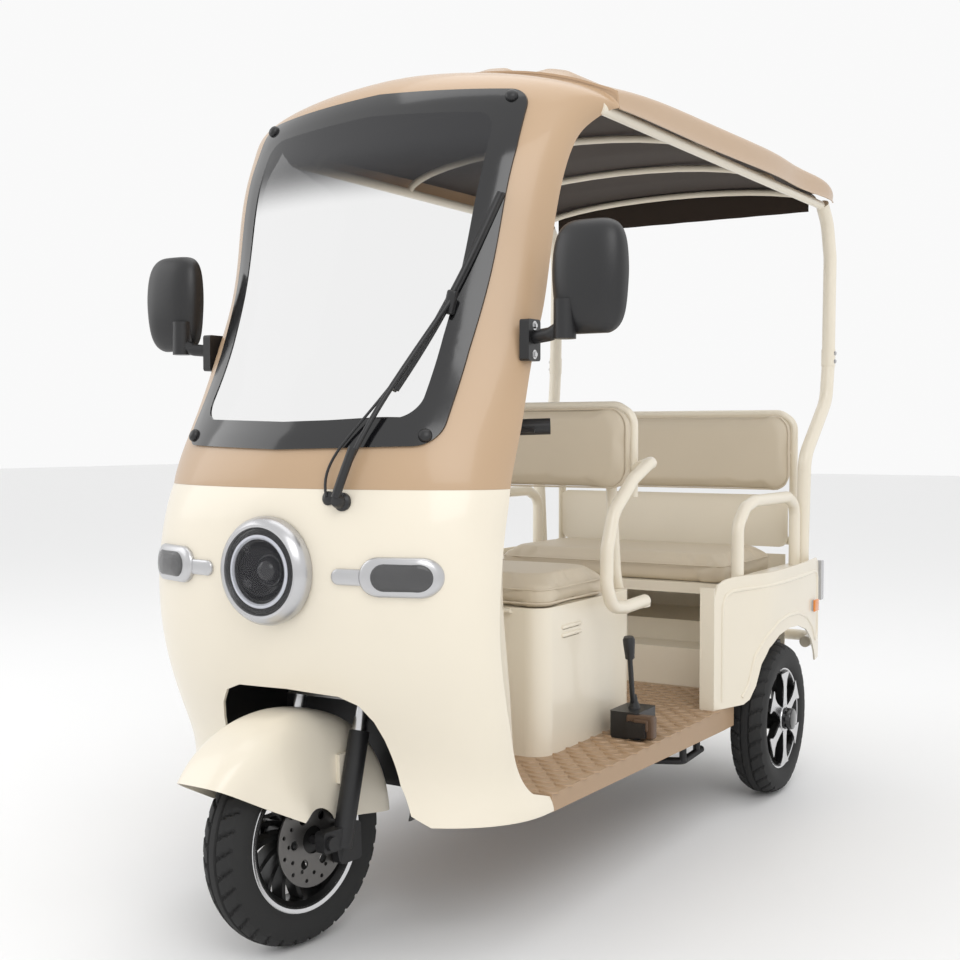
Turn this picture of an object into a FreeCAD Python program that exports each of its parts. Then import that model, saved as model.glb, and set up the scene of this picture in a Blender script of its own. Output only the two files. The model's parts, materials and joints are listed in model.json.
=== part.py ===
import FreeCAD, Part
import math
import os

# A three-wheeled electric passenger tricycle with a windscreen and a fixed roof.
# Millimetres.  +X is the vehicle's left, -Y is forward, +Z is up.  The sub-parts are built with
# y = 0 on the front axle when the steering is straight, and z = 0 on the ground.
# write_parts() then moves everything along y, so that the middle of the vehicle is at y = 0.

V = FreeCAD.Vector

# ---- wheels and steering -------------------------------------------------------------------
WHEEL_RADIUS = 204.0        # outside of the tread
WHEELBASE = 1510.0
REAR_WHEEL_X = 428.0        # middle plane of each rear wheel
FRONT_TYRE_WIDTH = 86.0
REAR_TYRE_WIDTH = 92.0
BEAD_RADIUS = 128.0
FLANGE_RADIUS = 138.0
RIM_HALF_WIDTH = 34.0
AXLE_RADIUS = 8.0
AXLE_FIT = 0.05             # radial clearance of a wheel on its axle
RAKE = 15.6                 # angle of the steering axis from vertical, degrees
AXLE_LEAD = 43.9            # the axle is this far ahead of the steering axis, along y
STEER_AT_REST = -8.0        # the vehicle is parked with its steering a little to its right
LEG_X = 88.0                # fork legs
SLIDER_RADIUS = 20.0
STANCHION_RADIUS = 15.0
YOKE_TOP_Z = 480.0
STEM_RADIUS = 14.0
HEAD_TUBE_WALL = 5.0
HEAD_TUBE_BORE = STEM_RADIUS + 0.3
HEAD_TUBE_Z = (515.0, 690.0)
BAR_Z = 978.0               # handlebar grips
GRIP_X = 322.0
GRIP_BACK = 172.0
DISC_RADIUS = 88.0
DISC_X = 50.0

# ---- front body ----------------------------------------------------------------------------
PANEL = 6.0                 # moulded panels
# height, nose y, side y, half width, exponent of the plan section
SHELL_SECTIONS = (
    (250.0, 0.0, 262.0, 420.0, 2.4), (300.0, 20.0, 205.0, 400.0, 2.3),
    (350.0, 22.0, 168.0, 391.0, 2.3), (412.0, 3.0, 140.0, 395.0, 2.3),
    (481.0, -25.0, 116.0, 399.0, 2.3), (546.0, -46.0, 98.0, 400.0, 2.3),
    (628.0, -66.0, 89.0, 400.0, 2.3), (722.0, -78.0, 98.0, 399.0, 2.3),
    (800.0, -75.0, 112.0, 398.0, 2.2), (874.0, -60.0, 131.0, 397.0, 2.0),
)
# rear edge of the shell at the door opening: y, z from the foot to the seam
DOOR_EDGE = (
    (262.0, 277.0), (214.0, 291.0), (180.0, 329.0), (140.0, 412.0), (106.0, 508.0),
    (88.0, 628.0), (105.0, 768.0), (131.0, 874.0),
)
# half outline of the wheel opening: x, z from the bottom to the top middle
WHEEL_OPENING = (
    (281.0, 249.0), (240.0, 268.0), (213.0, 322.0), (203.0, 372.0), (195.0, 410.0),
    (183.0, 444.0), (160.0, 474.0), (120.0, 489.0), (0.0, 493.0),
)
FRAME_WALL = 12.0           # windscreen frame, inner and outer skins together
# centre y, centre z, edge x, edge y, edge z, exponent
FRAME_SECTIONS = (
    (-60.0, 874.3, 397.0, 131.5, 874.3, 2.0), (-47.0, 950.0, 396.0, 160.0, 950.0, 1.85),
    (-2.0, 1040.0, 394.0, 195.0, 1040.0, 1.7), (55.0, 1140.0, 392.0, 235.0, 1145.0, 1.65),
    (93.0, 1240.0, 391.0, 277.0, 1240.0, 1.65), (130.0, 1345.0, 391.0, 303.0, 1340.0, 1.7),
    (168.0, 1450.0, 396.0, 325.0, 1440.0, 1.85), (212.0, 1545.0, 406.0, 368.0, 1545.0, 2.0),
    (258.0, 1630.0, 424.0, 420.0, 1600.0, 2.1), (300.0, 1688.0, 440.0, 444.0, 1619.0, 2.0),
    (362.0, 1727.0, 452.0, 455.0, 1626.0, 1.8), (461.0, 1745.0, 460.0, 461.0, 1630.0, 1.75),
)
# half outline of the windscreen seen from the front: x, z
SCREEN_OUTLINE = (
    (0.0, 946.0), (304.0, 954.0), (307.0, 1133.0), (315.0, 1267.0), (325.0, 1420.0),
    (333.0, 1530.0), (332.0, 1654.0), (0.0, 1676.0),
)
CORNER_RADIUS = 42.0
SCREEN_THICKNESS = 4.0
SCREEN_STANDOFF = 1.0       # gap between the frame's outside and the screen
BORDER_WIDTH = 52.0
FRAME_LAP = 20.0            # how far the screen laps over its frame
DASH_GAP = 0.3
SHELF = 5.0

# ---- roof ----------------------------------------------------------------------------------
ROOF_START = 461.3
ROOF_END = 1925.0
ROOF_SKIN = 4.0
# y, crown z, crease x, crease z, edge x, edge z
ROOF_SECTIONS = (
    (461.3, 1749.0, 452.0, 1664.0, 463.0, 1626.0), (700.0, 1750.0, 462.0, 1684.0, 470.0, 1630.0),
    (1050.0, 1751.0, 470.0, 1695.0, 477.0, 1636.0), (1450.0, 1750.0, 476.0, 1704.0, 483.0, 1646.0),
    (1780.0, 1744.0, 478.0, 1705.0, 485.0, 1654.0), (1880.0, 1734.0, 476.0, 1696.0, 483.0, 1657.0),
    (1925.0, 1716.0, 468.0, 1686.0, 474.0, 1658.0),
)
POST_RADIUS = 19.0
POST_X = 452.0
POST_FOOT_X = 430.0
RAIL_RADIUS = 12.0
BOW_RADIUS = 9.0
BOW_STATIONS = (620.0, 1040.0, 1460.0, 1830.0)

# ---- floor, seats and rear body ------------------------------------------------------------
FLOOR_HALF = 415.0
FLOOR_TOP = 280.0
FLOOR_START = 262.3
FLOOR_END = 1424.0
FLOOR_STEP = 1268.0         # the floor is narrower behind this
FLOOR_BAND = 34.0
FLOOR_SKIN = 4.0
SEAT_BOX = (500.0, 965.0)   # front and rear of the driver's seat box
SEAT_BOX_HALF = 268.0
SEAT_BOX_TOP = 601.0
LID_Y = 492.0               # hinge line of the seat lid, below the front edge of the cushion
LID_Z = 594.0
HINGE_RADIUS = 5.0
HINGE_X = 150.0
CUSHION_TOP = 655.0
BACK_PAD = (-312.0, 312.0, 842.0, 892.0, 836.0, 1048.0)
STEP_TOP = 385.0
STEP_FRONT = 1425.0
BENCH_FRONT = 1490.0
BENCH_TOP = 590.0
BENCH_BACK = 1842.0
TUB_HALF = 398.0
SIDE_TOP = 612.0
SIDE_SKIN = 5.0
HOOP_X = 420.0
HOOP_RADIUS = 16.0
REAR_PAD = (-398.0, 398.0, 1790.0, 1836.7, 800.0, 1040.0)


def rad(angle):
    return math.radians(angle)


def axis_y(z):
    """Where the steering axis is, at a height."""
    return AXLE_LEAD + (z - WHEEL_RADIUS) * math.tan(rad(RAKE))


def box(x0, x1, y0, y1, z0, z1):
    return Part.makeBox(x1 - x0, y1 - y0, z1 - z0, V(x0, y0, z0))


def rounded_box(x0, x1, y0, y1, z0, z1, radius, along="z"):
    """A box whose four edges along one direction are rounded."""
    solid = box(x0, x1, y0, y1, z0, z1)
    index = "xyz".index(along)
    edges = []
    for edge in solid.Edges:
        span = edge.BoundBox
        size = (span.XLength, span.YLength, span.ZLength)
        if size[index] > max(size[:index] + size[index + 1:]) + 1e-6:
            edges.append(edge)
    return solid.makeFillet(radius, edges)


def soft_box(x0, x1, y0, y1, z0, z1, radius):
    solid = box(x0, x1, y0, y1, z0, z1)
    return solid.makeFillet(radius, solid.Edges)


def rod(start, end, radius):
    direction = V(*end) - V(*start)
    return Part.makeCylinder(radius, direction.Length, V(*start), direction)


def pipe(points, radius, bend):
    """A round bar along straight runs joined by tangent arcs."""
    corners = [V(*p) for p in points]
    edges = []
    last = corners[0]
    for before, corner, after in zip(corners, corners[1:], corners[2:]):
        into = (corner - before).normalize()
        out = (after - corner).normalize()
        turn = into.getAngle(out)
        if turn < 0.01:
            continue
        room = 0.48 * min((corner - before).Length, (after - corner).Length)
        cut = min(bend * math.tan(turn / 2), room)
        arc_radius = cut / math.tan(turn / 2)
        first = corner - into * cut
        end = corner + out * cut
        middle_way = (out - into).normalize()
        centre_gap = arc_radius / math.cos(turn / 2)
        middle = corner + middle_way * (centre_gap - arc_radius)
        if (first - last).Length > 0.01:
            edges.append(Part.LineSegment(last, first).toShape())
        edges.append(Part.Arc(first, middle, end).toShape())
        last = end
    edges.append(Part.LineSegment(last, corners[-1]).toShape())
    path = Part.Wire(edges)
    start_way = (corners[1] - corners[0]).normalize()
    profile = Part.Wire(Part.makeCircle(radius, corners[0], start_way))
    return path.makePipeShell([profile], True, False)


def fuse(shapes):
    whole = shapes[0].multiFuse(shapes[1:]) if len(shapes) > 1 else shapes[0]
    return whole.removeSplitter()


def mirror_x(shape):
    return shape.mirror(V(0, 0, 0), V(1, 0, 0))


def both_sides(shape):
    return Part.makeCompound([shape, mirror_x(shape)])


def spline(points):
    """A smooth edge through points, evenly spaced in its own parameter."""
    steps = [i / (len(points) - 1) for i in range(len(points))]
    curve = Part.BSplineCurve()
    curve.interpolate(Points=points, Parameters=steps)
    return curve.toShape()


def prism_x(outline, x0, x1):
    """A solid with a y, z outline, from x0 to x1."""
    points = [V(x0, y, z) for y, z in outline]
    face = Part.Face(Part.makePolygon(points + points[:1]))
    return face.extrude(V(x1 - x0, 0, 0))


def symmetric_prism_y(half_outline, y0, y1):
    """A solid with a mirrored x, z outline, from y0 to y1.  The half runs from x = 0 or x > 0."""
    right = [V(x, y0, z) for x, z in half_outline]
    left = [V(-x, y0, z) for x, z in reversed(half_outline) if x > 0]
    points = right + left
    face = Part.Face(Part.makePolygon(points + points[:1]))
    return face.extrude(V(0, y1 - y0, 0))


def bow_points(centre, edge_x, edge_y, edge_z, exponent, steps=8):
    """Points of a superellipse bow from one edge, over the centre, to the other edge."""
    points = []
    for k in range(-steps, steps + 1):
        angle = rad(90.0 * abs(k) / steps)
        across = math.sin(angle) ** (2 / exponent)
        depth = 1 - max(math.cos(angle), 0.0) ** (2 / exponent)
        x = math.copysign(edge_x * across, k) if k else 0.0
        y = centre.y + (edge_y - centre.y) * depth
        z = centre.z + (edge_z - centre.z) * depth
        points.append(V(x, y, z))
    return points


# ---- front body ----------------------------------------------------------------------------

def shell_wire(section, inset, back):
    height, nose, side, half, exponent = section
    bow = bow_points(V(0, nose + inset, height), half - inset, side, height, exponent)
    first, last = bow[0], bow[-1]
    rear_left, rear_right = V(last.x, back, height), V(first.x, back, height)
    edges = [spline(bow), Part.makeLine(last, rear_left), Part.makeLine(rear_left, rear_right),
             Part.makeLine(rear_right, first)]
    return Part.Wire(edges)


def shell_volume(inset, back, sections=SHELL_SECTIONS):
    return Part.makeLoft([shell_wire(s, inset, back) for s in sections], True, False)


def behind_door_edge(offset):
    """Everything behind the shell's rear edge, for cutting."""
    edge = [V(-500, y + offset, z) for y, z in DOOR_EDGE]
    curve = spline(edge[1:])
    top = V(-500, edge[-1].y + 60, edge[-1].z + 40)
    corner, low = V(-500, 600, top.z), V(-500, 600, 200)
    foot = V(-500, edge[0].y, 200)
    lines = [Part.makeLine(edge[-1], top), Part.makeLine(top, corner), Part.makeLine(corner, low),
             Part.makeLine(low, foot), Part.makeLine(foot, edge[0]), Part.makeLine(edge[0], edge[1])]
    return Part.Face(Part.Wire([curve] + lines)).extrude(V(1000, 0, 0))


def front_shell():
    low, high = SHELL_SECTIONS[0], SHELL_SECTIONS[-1]
    inside = ((low[0] - 2,) + low[1:],) + SHELL_SECTIONS[1:-1] + ((high[0] + 2,) + high[1:],)
    shell = shell_volume(0, 330).cut(shell_volume(PANEL, 340, inside))
    shell = shell.cut(behind_door_edge(0))
    opening = symmetric_prism_y([(WHEEL_OPENING[0][0], 200.0)] + list(WHEEL_OPENING), -250, 130)
    shell = shell.cut(opening)
    lamp_hole = rod((0, -200, 722), (0, 0, 722), 82)
    return shell.cut(lamp_hole)


WELL_HALF = 236.0
WELL_TOP = 506.0
WELL_BACK = 262.0
LINER = 3.0


def shell_liner():
    """The dark arch behind the wheel opening."""
    outer = rounded_box(-WELL_HALF, WELL_HALF, 10, WELL_BACK, 262, WELL_TOP, 60, "y")
    outer = outer.fuse(box(-WELL_HALF, WELL_HALF, 10, WELL_BACK, 258, 360))
    inner = rounded_box(-WELL_HALF + LINER, WELL_HALF - LINER, 0, WELL_BACK - LINER, 240,
                        WELL_TOP - LINER, 60 - LINER, "y")
    inner = inner.fuse(box(-WELL_HALF + LINER, WELL_HALF - LINER, 0, WELL_BACK - LINER, 240, 350))
    liner = outer.cut(inner)
    stem_way = rod((0, axis_y(440), 440), (0, axis_y(560), 560), 44)
    liner = liner.cut(stem_way)
    return liner.common(shell_volume(PANEL + 0.3, 330))


def dash_section(height, side, half, bulge_y, front):
    """A closed plan section: straight front, and a rear line that swells round the column."""
    swell = bulge_y - side
    points = [V(half, side, height), V(half * 0.93, side + swell * 0.36, height),
              V(half * 0.8, side + swell * 0.72, height), V(half * 0.6, side + swell * 0.93, height),
              V(half * 0.3, bulge_y - 1, height), V(0, bulge_y, height)]
    points = points + [V(-p.x, p.y, height) for p in reversed(points[:-1])]
    rear = spline(points)
    a, b = V(half, front, height), V(-half, front, height)
    lines = [Part.makeLine(points[-1], b), Part.makeLine(b, a), Part.makeLine(a, points[0])]
    return Part.Wire([rear] + lines)


DASH_EDGE = 12.0
DASH_SECTIONS = (
    (280.3, 216.0, 372.0, 340.0), (412.0, 150.0, 378.0, 338.0), (508.0, 116.0, 384.0, 330.0),
    (628.0, 96.0, 384.0, 312.0), (768.0, 110.0, 382.0, 298.0), (868.0, 128.0, 380.0, 298.0),
)


def dash_panel():
    """The inner leg shield that faces the driver, closed on top by the dash shelf."""
    outer = Part.makeLoft([dash_section(h, s, w, b, s - DASH_EDGE) for h, s, w, b in DASH_SECTIONS],
                          True, False)
    inner = Part.makeLoft([dash_section(h + (-6 if h < 300 else 0), s - 5, w - 5, b - 5, s - 90)
                           for h, s, w, b in DASH_SECTIONS], True, False)
    leg_shield = outer.cut(inner)
    low = DASH_SECTIONS[-1][0] + 0.3
    slab = box(-500, 500, -200, 400, low, low + SHELF)
    swell = Part.Face(dash_section(low, *DASH_SECTIONS[-1][1:], -100)).extrude(V(0, 0, SHELF))
    shelf = shell_volume(PANEL + DASH_GAP + 6, 330).common(slab).common(swell)
    way = rod((0, axis_y(780), 780), (0, axis_y(960), 960), 34)
    return Part.makeCompound([leg_shield.cut(way), shelf.cut(way)])


def frame_points(inset):
    """Rows of points on the windscreen frame's surface, moved inwards by inset."""
    rows = []
    centres = [V(0, s[0], s[1]) for s in FRAME_SECTIONS]
    for index, section in enumerate(FRAME_SECTIONS):
        centre = centres[index]
        before, after = centres[max(index - 1, 0)], centres[min(index + 1, len(centres) - 1)]
        along = (after - before).normalize()
        inward = V(0, along.z, -along.y)
        if index == 0:
            inward = V(0, 1, 0)
        if index == len(FRAME_SECTIONS) - 1:
            inward = V(0, 0, -1)
        moved = centre + inward * inset
        edge = V(0, section[3], section[4])
        rows.append(bow_points(moved, section[2] - inset, edge.y, edge.z, section[5]))
    return rows


def frame_shell(outside, inside):
    """A thin shell that follows the windscreen frame's form between two insets."""
    wires = []
    for outer, inner in zip(frame_points(outside), frame_points(inside)):
        first = spline(outer)
        second = spline(inner)
        ends = [Part.makeLine(outer[-1], inner[-1]), Part.makeLine(inner[0], outer[0])]
        wires.append(Part.Wire(Part.__sortEdges__([first, ends[0], second, ends[1]])))
    return Part.makeLoft(wires, True, False)


def scaled_outline(grow):
    """The windscreen's half outline, moved outwards by grow (inwards if negative)."""
    low, high = SCREEN_OUTLINE[0][1], SCREEN_OUTLINE[-1][1]
    middle = (low + high) / 2
    half_height = (high - low) / 2
    half_width = max(x for x, z in SCREEN_OUTLINE)
    return [(x * (half_width + grow) / half_width,
             middle + (z - middle) * (half_height + grow) / half_height) for x, z in SCREEN_OUTLINE]


def smooth_prism(half_outline, y0, y1):
    """Like symmetric_prism_y, with rounded corners."""
    solid = symmetric_prism_y(half_outline, y0, y1)
    corners = []
    for edge in solid.Edges:
        middle = edge.CenterOfMass
        if edge.BoundBox.YLength > 100 and abs(middle.x) > 100:
            corners.append(edge)
    low, high = half_outline[0][1], half_outline[-1][1]
    tight = [e for e in corners if e.CenterOfMass.z < low + 30 or e.CenterOfMass.z > high - 40]
    return solid.makeFillet(CORNER_RADIUS, tight)


def windshield_frame():
    opening = smooth_prism(scaled_outline(-FRAME_LAP), -300, 700)
    return frame_shell(0, FRAME_WALL).cut(opening)


def screen_sheet():
    return frame_shell(-SCREEN_STANDOFF - SCREEN_THICKNESS, -SCREEN_STANDOFF)


def windshield_border():
    ring = smooth_prism(SCREEN_OUTLINE, -300, 700).cut(
        smooth_prism(scaled_outline(-BORDER_WIDTH), -310, 710))
    return screen_sheet().common(ring)


def windshield_glass():
    return screen_sheet().common(smooth_prism(scaled_outline(-BORDER_WIDTH), -300, 700))


def headlight():
    """Bezel ring and lens, a disc on the nose."""
    centre_z = 722.0
    bezel = rod((0, -112, centre_z), (0, -30, centre_z), 80)
    flange = Part.makeCone(88, 101, 26, V(0, -118, centre_z), V(0, 1, 0))
    flange = flange.fuse(rod((0, -92, centre_z), (0, -74, centre_z), 101))
    flange = flange.cut(shell_volume(-0.3, 330))
    return bezel.fuse(flange).removeSplitter()


def turn_signals():
    body = rounded_box(196, 344, -60, 40, 684, 756, 35, "y")
    skin = shell_volume(-20, 330).cut(shell_volume(-0.3, 330))
    return both_sides(body.common(skin))


def wiper():
    pivot = V(155, -52, 852)
    hub = rod(tuple(pivot + V(0, -14, 0)), tuple(pivot + V(0, 12, 0)), 15)
    arm = pipe([(155, -60, 852), (190, -44, 960), (252, 40, 1180)], 6, 60)
    blade = pipe([(214, -18, 1062), (262, 56, 1230), (318, 158, 1420)], 6, 200)
    grip = rod((244, 30, 1160), (262, 56, 1200), 11)
    return fuse([hub, arm, blade, grip]).cut(shell_volume(-0.3, 330))


# height, half width, how far the housing swells forward
MIRROR_SECTIONS = (
    (1160.0, 34.0, 14.0), (1176.0, 58.0, 30.0), (1215.0, 70.0, 42.0), (1268.0, 74.0, 46.0),
    (1320.0, 71.0, 42.0), (1352.0, 60.0, 32.0), (1368.0, 36.0, 16.0),
)
MIRROR_X = 514.0
MIRROR_BACK = 230.0         # the glass side


def mirror_wire(section):
    height, half, swell = section
    points = []
    for k in range(-6, 7):
        turn = rad(90.0 * k / 6)
        across = math.copysign(abs(math.sin(turn)) ** 0.8, k) if k else 0.0
        points.append(V(MIRROR_X + half * across, MIRROR_BACK - swell * math.cos(turn) ** 0.7 - 3
                        if abs(k) < 6 else MIRROR_BACK - 3, height))
    back = [V(points[-1].x, MIRROR_BACK, height), V(points[0].x, MIRROR_BACK, height)]
    return Part.Wire([spline(points), Part.makeLine(points[-1], back[0]), Part.makeLine(back[0], back[1]),
                      Part.makeLine(back[1], points[0])])


def mirror_left():
    """Foot on the windscreen frame, a stout arm with its pivot drum, and the housing."""
    foot = rounded_box(384, 404, 188, 234, 1112, 1190, 6, "x").cut(frame_shell(-0.3, 40))
    arm = pipe([(398, 212, 1156), (444, 200, 1160), (474, 198, 1176)], 13, 24)
    drum = rod((474, 198, 1150), (474, 198, 1222), 21)
    head = Part.makeLoft([mirror_wire(s) for s in MIRROR_SECTIONS], True, False)
    return fuse([foot, arm, drum, head])


# ---- roof ----------------------------------------------------------------------------------

def roof_points(section, inset):
    y, crown, crease_x, crease_z, edge_x, edge_z = section
    crease_x -= inset
    edge_x -= inset
    points = [V(edge_x, y, edge_z), V((edge_x + crease_x) / 2 + 1, y, (edge_z + crease_z) / 2),
              V(crease_x, y, crease_z - inset)]
    for share in (0.93, 0.84, 0.7, 0.5, 0.25, 0.0):
        drop = (crown - crease_z) * share ** 2.6
        points.append(V(crease_x * share, y, crown - drop - inset))
    return points


def roof_wire(section, inset, thickness):
    def full(offset):
        half = roof_points(section, offset)
        return half + [V(-p.x, p.y, p.z) for p in reversed(half[:-1])]
    outer, inner = full(inset), full(inset + thickness)
    edges = [spline(outer), Part.makeLine(outer[-1], inner[-1]), spline(list(reversed(inner))),
             Part.makeLine(inner[0], outer[0])]
    return Part.Wire(edges)


def roof_panel():
    return Part.makeLoft([roof_wire(s, 0, ROOF_SKIN) for s in ROOF_SECTIONS], True, False)


LINER_DROP = 22.0
LINING = 3.0
VALANCE_BOTTOM = 1628.0


def roof_liner():
    """A fabric lining under the roof skin, with a valance at the rear."""
    wires = []
    for y, crown, crease_x, crease_z, edge_x, edge_z in ROOF_SECTIONS[:-1]:
        station = max(y, ROOF_START + 8)
        outer = bow_points(V(0, station, crown - LINER_DROP), crease_x - 26, station, crease_z - 16, 2.0)
        inner = bow_points(V(0, station, crown - LINER_DROP - LINING), crease_x - 26 - LINING, station,
                           crease_z - 16, 2.0)
        wires.append(Part.Wire([spline(outer), Part.makeLine(outer[-1], inner[-1]),
                                spline(list(reversed(inner))), Part.makeLine(inner[0], outer[0])]))
    sheet = Part.makeLoft(wires, True, False)
    y, crown, crease_x, crease_z, edge_x, edge_z = ROOF_SECTIONS[-2]
    half = crease_x - 60
    top = [p for p in bow_points(V(0, y, crown - LINER_DROP - 1), half, y, crease_z - 16, 2.0) if p.x >= 0]
    outline = [(half, VALANCE_BOTTOM)] + [(p.x, p.z) for p in reversed(top)]
    valance = symmetric_prism_y(outline, y - 5, y - 2)
    return sheet.fuse(valance)


def rail_x(y):
    share = (y - ROOF_START) / (ROOF_END - ROOF_START)
    return 432.0 + (POST_X - 432.0) * share


def rail_z(y):
    return 1626.0 + 20.0 * (y - ROOF_START) / (ROOF_END - ROOF_START)


def roof_frame():
    """Side rails and the bows that cross between them."""
    front, back = ROOF_START - 30, 1872.0
    parts = []
    for side in (-1, 1):
        parts.append(rod((side * rail_x(front), front, rail_z(front)),
                         (side * rail_x(back), back, rail_z(back)), RAIL_RADIUS))
    for y in BOW_STATIONS:
        centre = V(0, y, roof_crown(y) - LINER_DROP - LINING - BOW_RADIUS - 0.7)
        bow = bow_points(centre, rail_x(y), y, rail_z(y), 2.0)
        parts.append(pipe([tuple(p) for p in bow], BOW_RADIUS, 200))
    return fuse(parts)


def roof_crown(y):
    """Height of the roof's middle line at a station."""
    for (y0, z0), (y1, z1) in zip([s[:2] for s in ROOF_SECTIONS], [s[:2] for s in ROOF_SECTIONS[1:]]):
        if y <= y1:
            return z0 + (z1 - z0) * (y - y0) / (y1 - y0)
    return ROOF_SECTIONS[-1][1]


def rear_posts():
    post = pipe([(POST_X, 1884, 1650), (POST_X + 2, 1932, 1600), (POST_X + 6, 1950, 1500),
                 (POST_X + 6, 1940, 1178), (POST_X + 4, 1926, 1076), (POST_X - 14, 1782, 910),
                 (POST_FOOT_X, 1790, 640), (POST_FOOT_X, 1790, 420)], POST_RADIUS, 90)
    sleeve = rod((POST_X + 6, 1940, 1178), (POST_X + 6, 1941.6, 1228), POST_RADIUS + 1.5)
    return both_sides(fuse([post, sleeve]))


# ---- floor and chassis ---------------------------------------------------------------------

def floor_pan():
    """The flat floor, wide between the seat box and the side panels and narrower over the rails."""
    half = FLOOR_HALF - FLOOR_SKIN - 0.3
    wide = box(-half, half, FLOOR_START, FLOOR_STEP, FLOOR_TOP - FLOOR_SKIN, FLOOR_TOP)
    narrow = box(-TUB_HALF + 30, TUB_HALF - 30, FLOOR_STEP - 2, FLOOR_END, FLOOR_TOP - FLOOR_SKIN, FLOOR_TOP)
    return fuse([wide, narrow])


def floor_skirts():
    """The deep band along each side of the floor, deeper towards the rear."""
    low = FLOOR_TOP - FLOOR_BAND
    outline = [(FLOOR_START, low), (1200.0, low - 22), (FLOOR_STEP, low - 22), (FLOOR_STEP, FLOOR_TOP),
               (FLOOR_START, FLOOR_TOP)]
    return both_sides(prism_x(outline, FLOOR_HALF - FLOOR_SKIN, FLOOR_HALF))


RAIL_X = 215.0
RAIL_TOP = FLOOR_TOP - FLOOR_SKIN
RAIL_HEIGHT = 40.0
SPRING_X = 300.0


LADDER_END = 1420.0         # the ladder frame ends behind the step riser's foot


def chassis_frame():
    """Ladder of box rails and cross members under the floor."""
    z0, z1 = RAIL_TOP - RAIL_HEIGHT, RAIL_TOP
    parts = []
    for side in (-1, 1):
        x0, x1 = sorted((side * (RAIL_X - 20), side * (RAIL_X + 20)))
        parts.append(box(x0, x1, 280, LADDER_END, z0, z1))
        outer0, outer1 = sorted((side * 340, side * 372))
        parts.append(box(outer0, outer1, 280, 1240, z0 + 6, z1))
    for y in (296, 640, 960, 1210):
        parts.append(box(-372, 372, y - 16, y + 16, z0 + 6, z1))
    return fuse(parts)


def rear_subframe():
    """Rails that kick up over the axle, bolted to the end of the ladder, with their cross members."""
    z0, z1 = RAIL_TOP - RAIL_HEIGHT, RAIL_TOP
    start = LADDER_END + 0.3
    kick = [(start, z0), (start, z1), (1434, z1), (1486, 378), (1896, 378), (1896, 342), (1498, 342),
            (1442, z0)]
    parts = []
    for side in (-1, 1):
        x0, x1 = sorted((side * (RAIL_X - 20), side * (RAIL_X + 20)))
        parts.append(prism_x(kick, x0, x1))
    for y in (1512, 1760):
        parts.append(box(-372, 372, y - 16, y + 16, 344, 376))
    return fuse(parts)


def head_frame():
    """The head tube that carries the steering, on its two stays."""
    low, high = HEAD_TUBE_Z
    parts = [rod((0, axis_y(low), low), (0, axis_y(high), high), HEAD_TUBE_BORE + HEAD_TUBE_WALL),
             box(-60, 60, axis_y(560) + 6, axis_y(560) + 34, 545, 590)]
    for side in (-1, 1):
        stay = [(side * 100, 296, RAIL_TOP + 0.9), (side * 90, 296, 520), (side * 16, axis_y(640) + 12, 640)]
        parts.append(pipe(stay, 14, 60))
    bore = rod((0, axis_y(low - 20), low - 20), (0, axis_y(high + 20), high + 20), HEAD_TUBE_BORE)
    return fuse(parts).cut(bore)


def under_brace():
    """Side step brace below the floor, ahead of each rear wheel."""
    z = 168.0
    legs = [rod((360, 1060, z), (360, 1060, RAIL_TOP - RAIL_HEIGHT + 6), 9),
            rod((360, 1150, z + 4), (360, 1150, RAIL_TOP - RAIL_HEIGHT + 6), 9)]
    bar = pipe([(250, 1010, z), (360, 1060, z), (360, 1180, z + 6)], 9, 20)
    return both_sides(fuse(legs + [bar]))


def rear_axle():
    """Axle tube, differential and motor in one casting."""
    half = [(0, 0), (0, AXLE_RADIUS + 4), (118, AXLE_RADIUS + 4), (118, 74), (136, 74), (136, 26)]
    casting = revolve_x([(x - 486, r) for x, r in half] +
                        [(-104, 26), (-72, 62), (-20, 76), (30, 62), (52, 26)] +
                        [(486 - x, r) for x, r in reversed(half)])
    casting = about_axle(casting, 0, WHEELBASE)
    motor = rod((58, WHEELBASE - 10, WHEEL_RADIUS + 6), (186, WHEELBASE - 10, WHEEL_RADIUS + 6), 82)
    return fuse([casting, motor])


def leaf_springs():
    """Three stacked leaves on each side, clamped to the axle."""
    springs = []
    for index, half in enumerate((225.0, 170.0, 115.0)):
        z = WHEEL_RADIUS + 48 - 7.0 * index
        end = z + 16 * (half / 225.0) ** 2
        path = Part.Arc(V(0, WHEELBASE - half, end), V(0, WHEELBASE, z),
                        V(0, WHEELBASE + half, end)).toShape()
        lower = path.copy()
        lower.translate(V(0, 0, -6.4))
        edges = [path, Part.makeLine(path.Vertexes[-1].Point, lower.Vertexes[-1].Point), lower,
                 Part.makeLine(lower.Vertexes[0].Point, path.Vertexes[0].Point)]
        leaf = Part.Face(Part.Wire(Part.__sortEdges__(edges))).extrude(V(44, 0, 0))
        leaf.translate(V(SPRING_X - 22, 0, 0))
        springs.append(leaf)
    clamp = box(SPRING_X - 28, SPRING_X + 28, WHEELBASE - 34, WHEELBASE + 34, WHEEL_RADIUS + 26.3,
                WHEEL_RADIUS + 56)
    front_eye = box(SPRING_X - 24, SPRING_X + 24, WHEELBASE - 238, WHEELBASE - 212, 256, RAIL_TOP - 0.3)
    rear_eye = box(SPRING_X - 24, SPRING_X + 24, WHEELBASE + 212, WHEELBASE + 238, 256, 343.7)
    return both_sides(fuse(springs + [clamp, front_eye, rear_eye]))


# ---- seats and rear body -------------------------------------------------------------------

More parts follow.
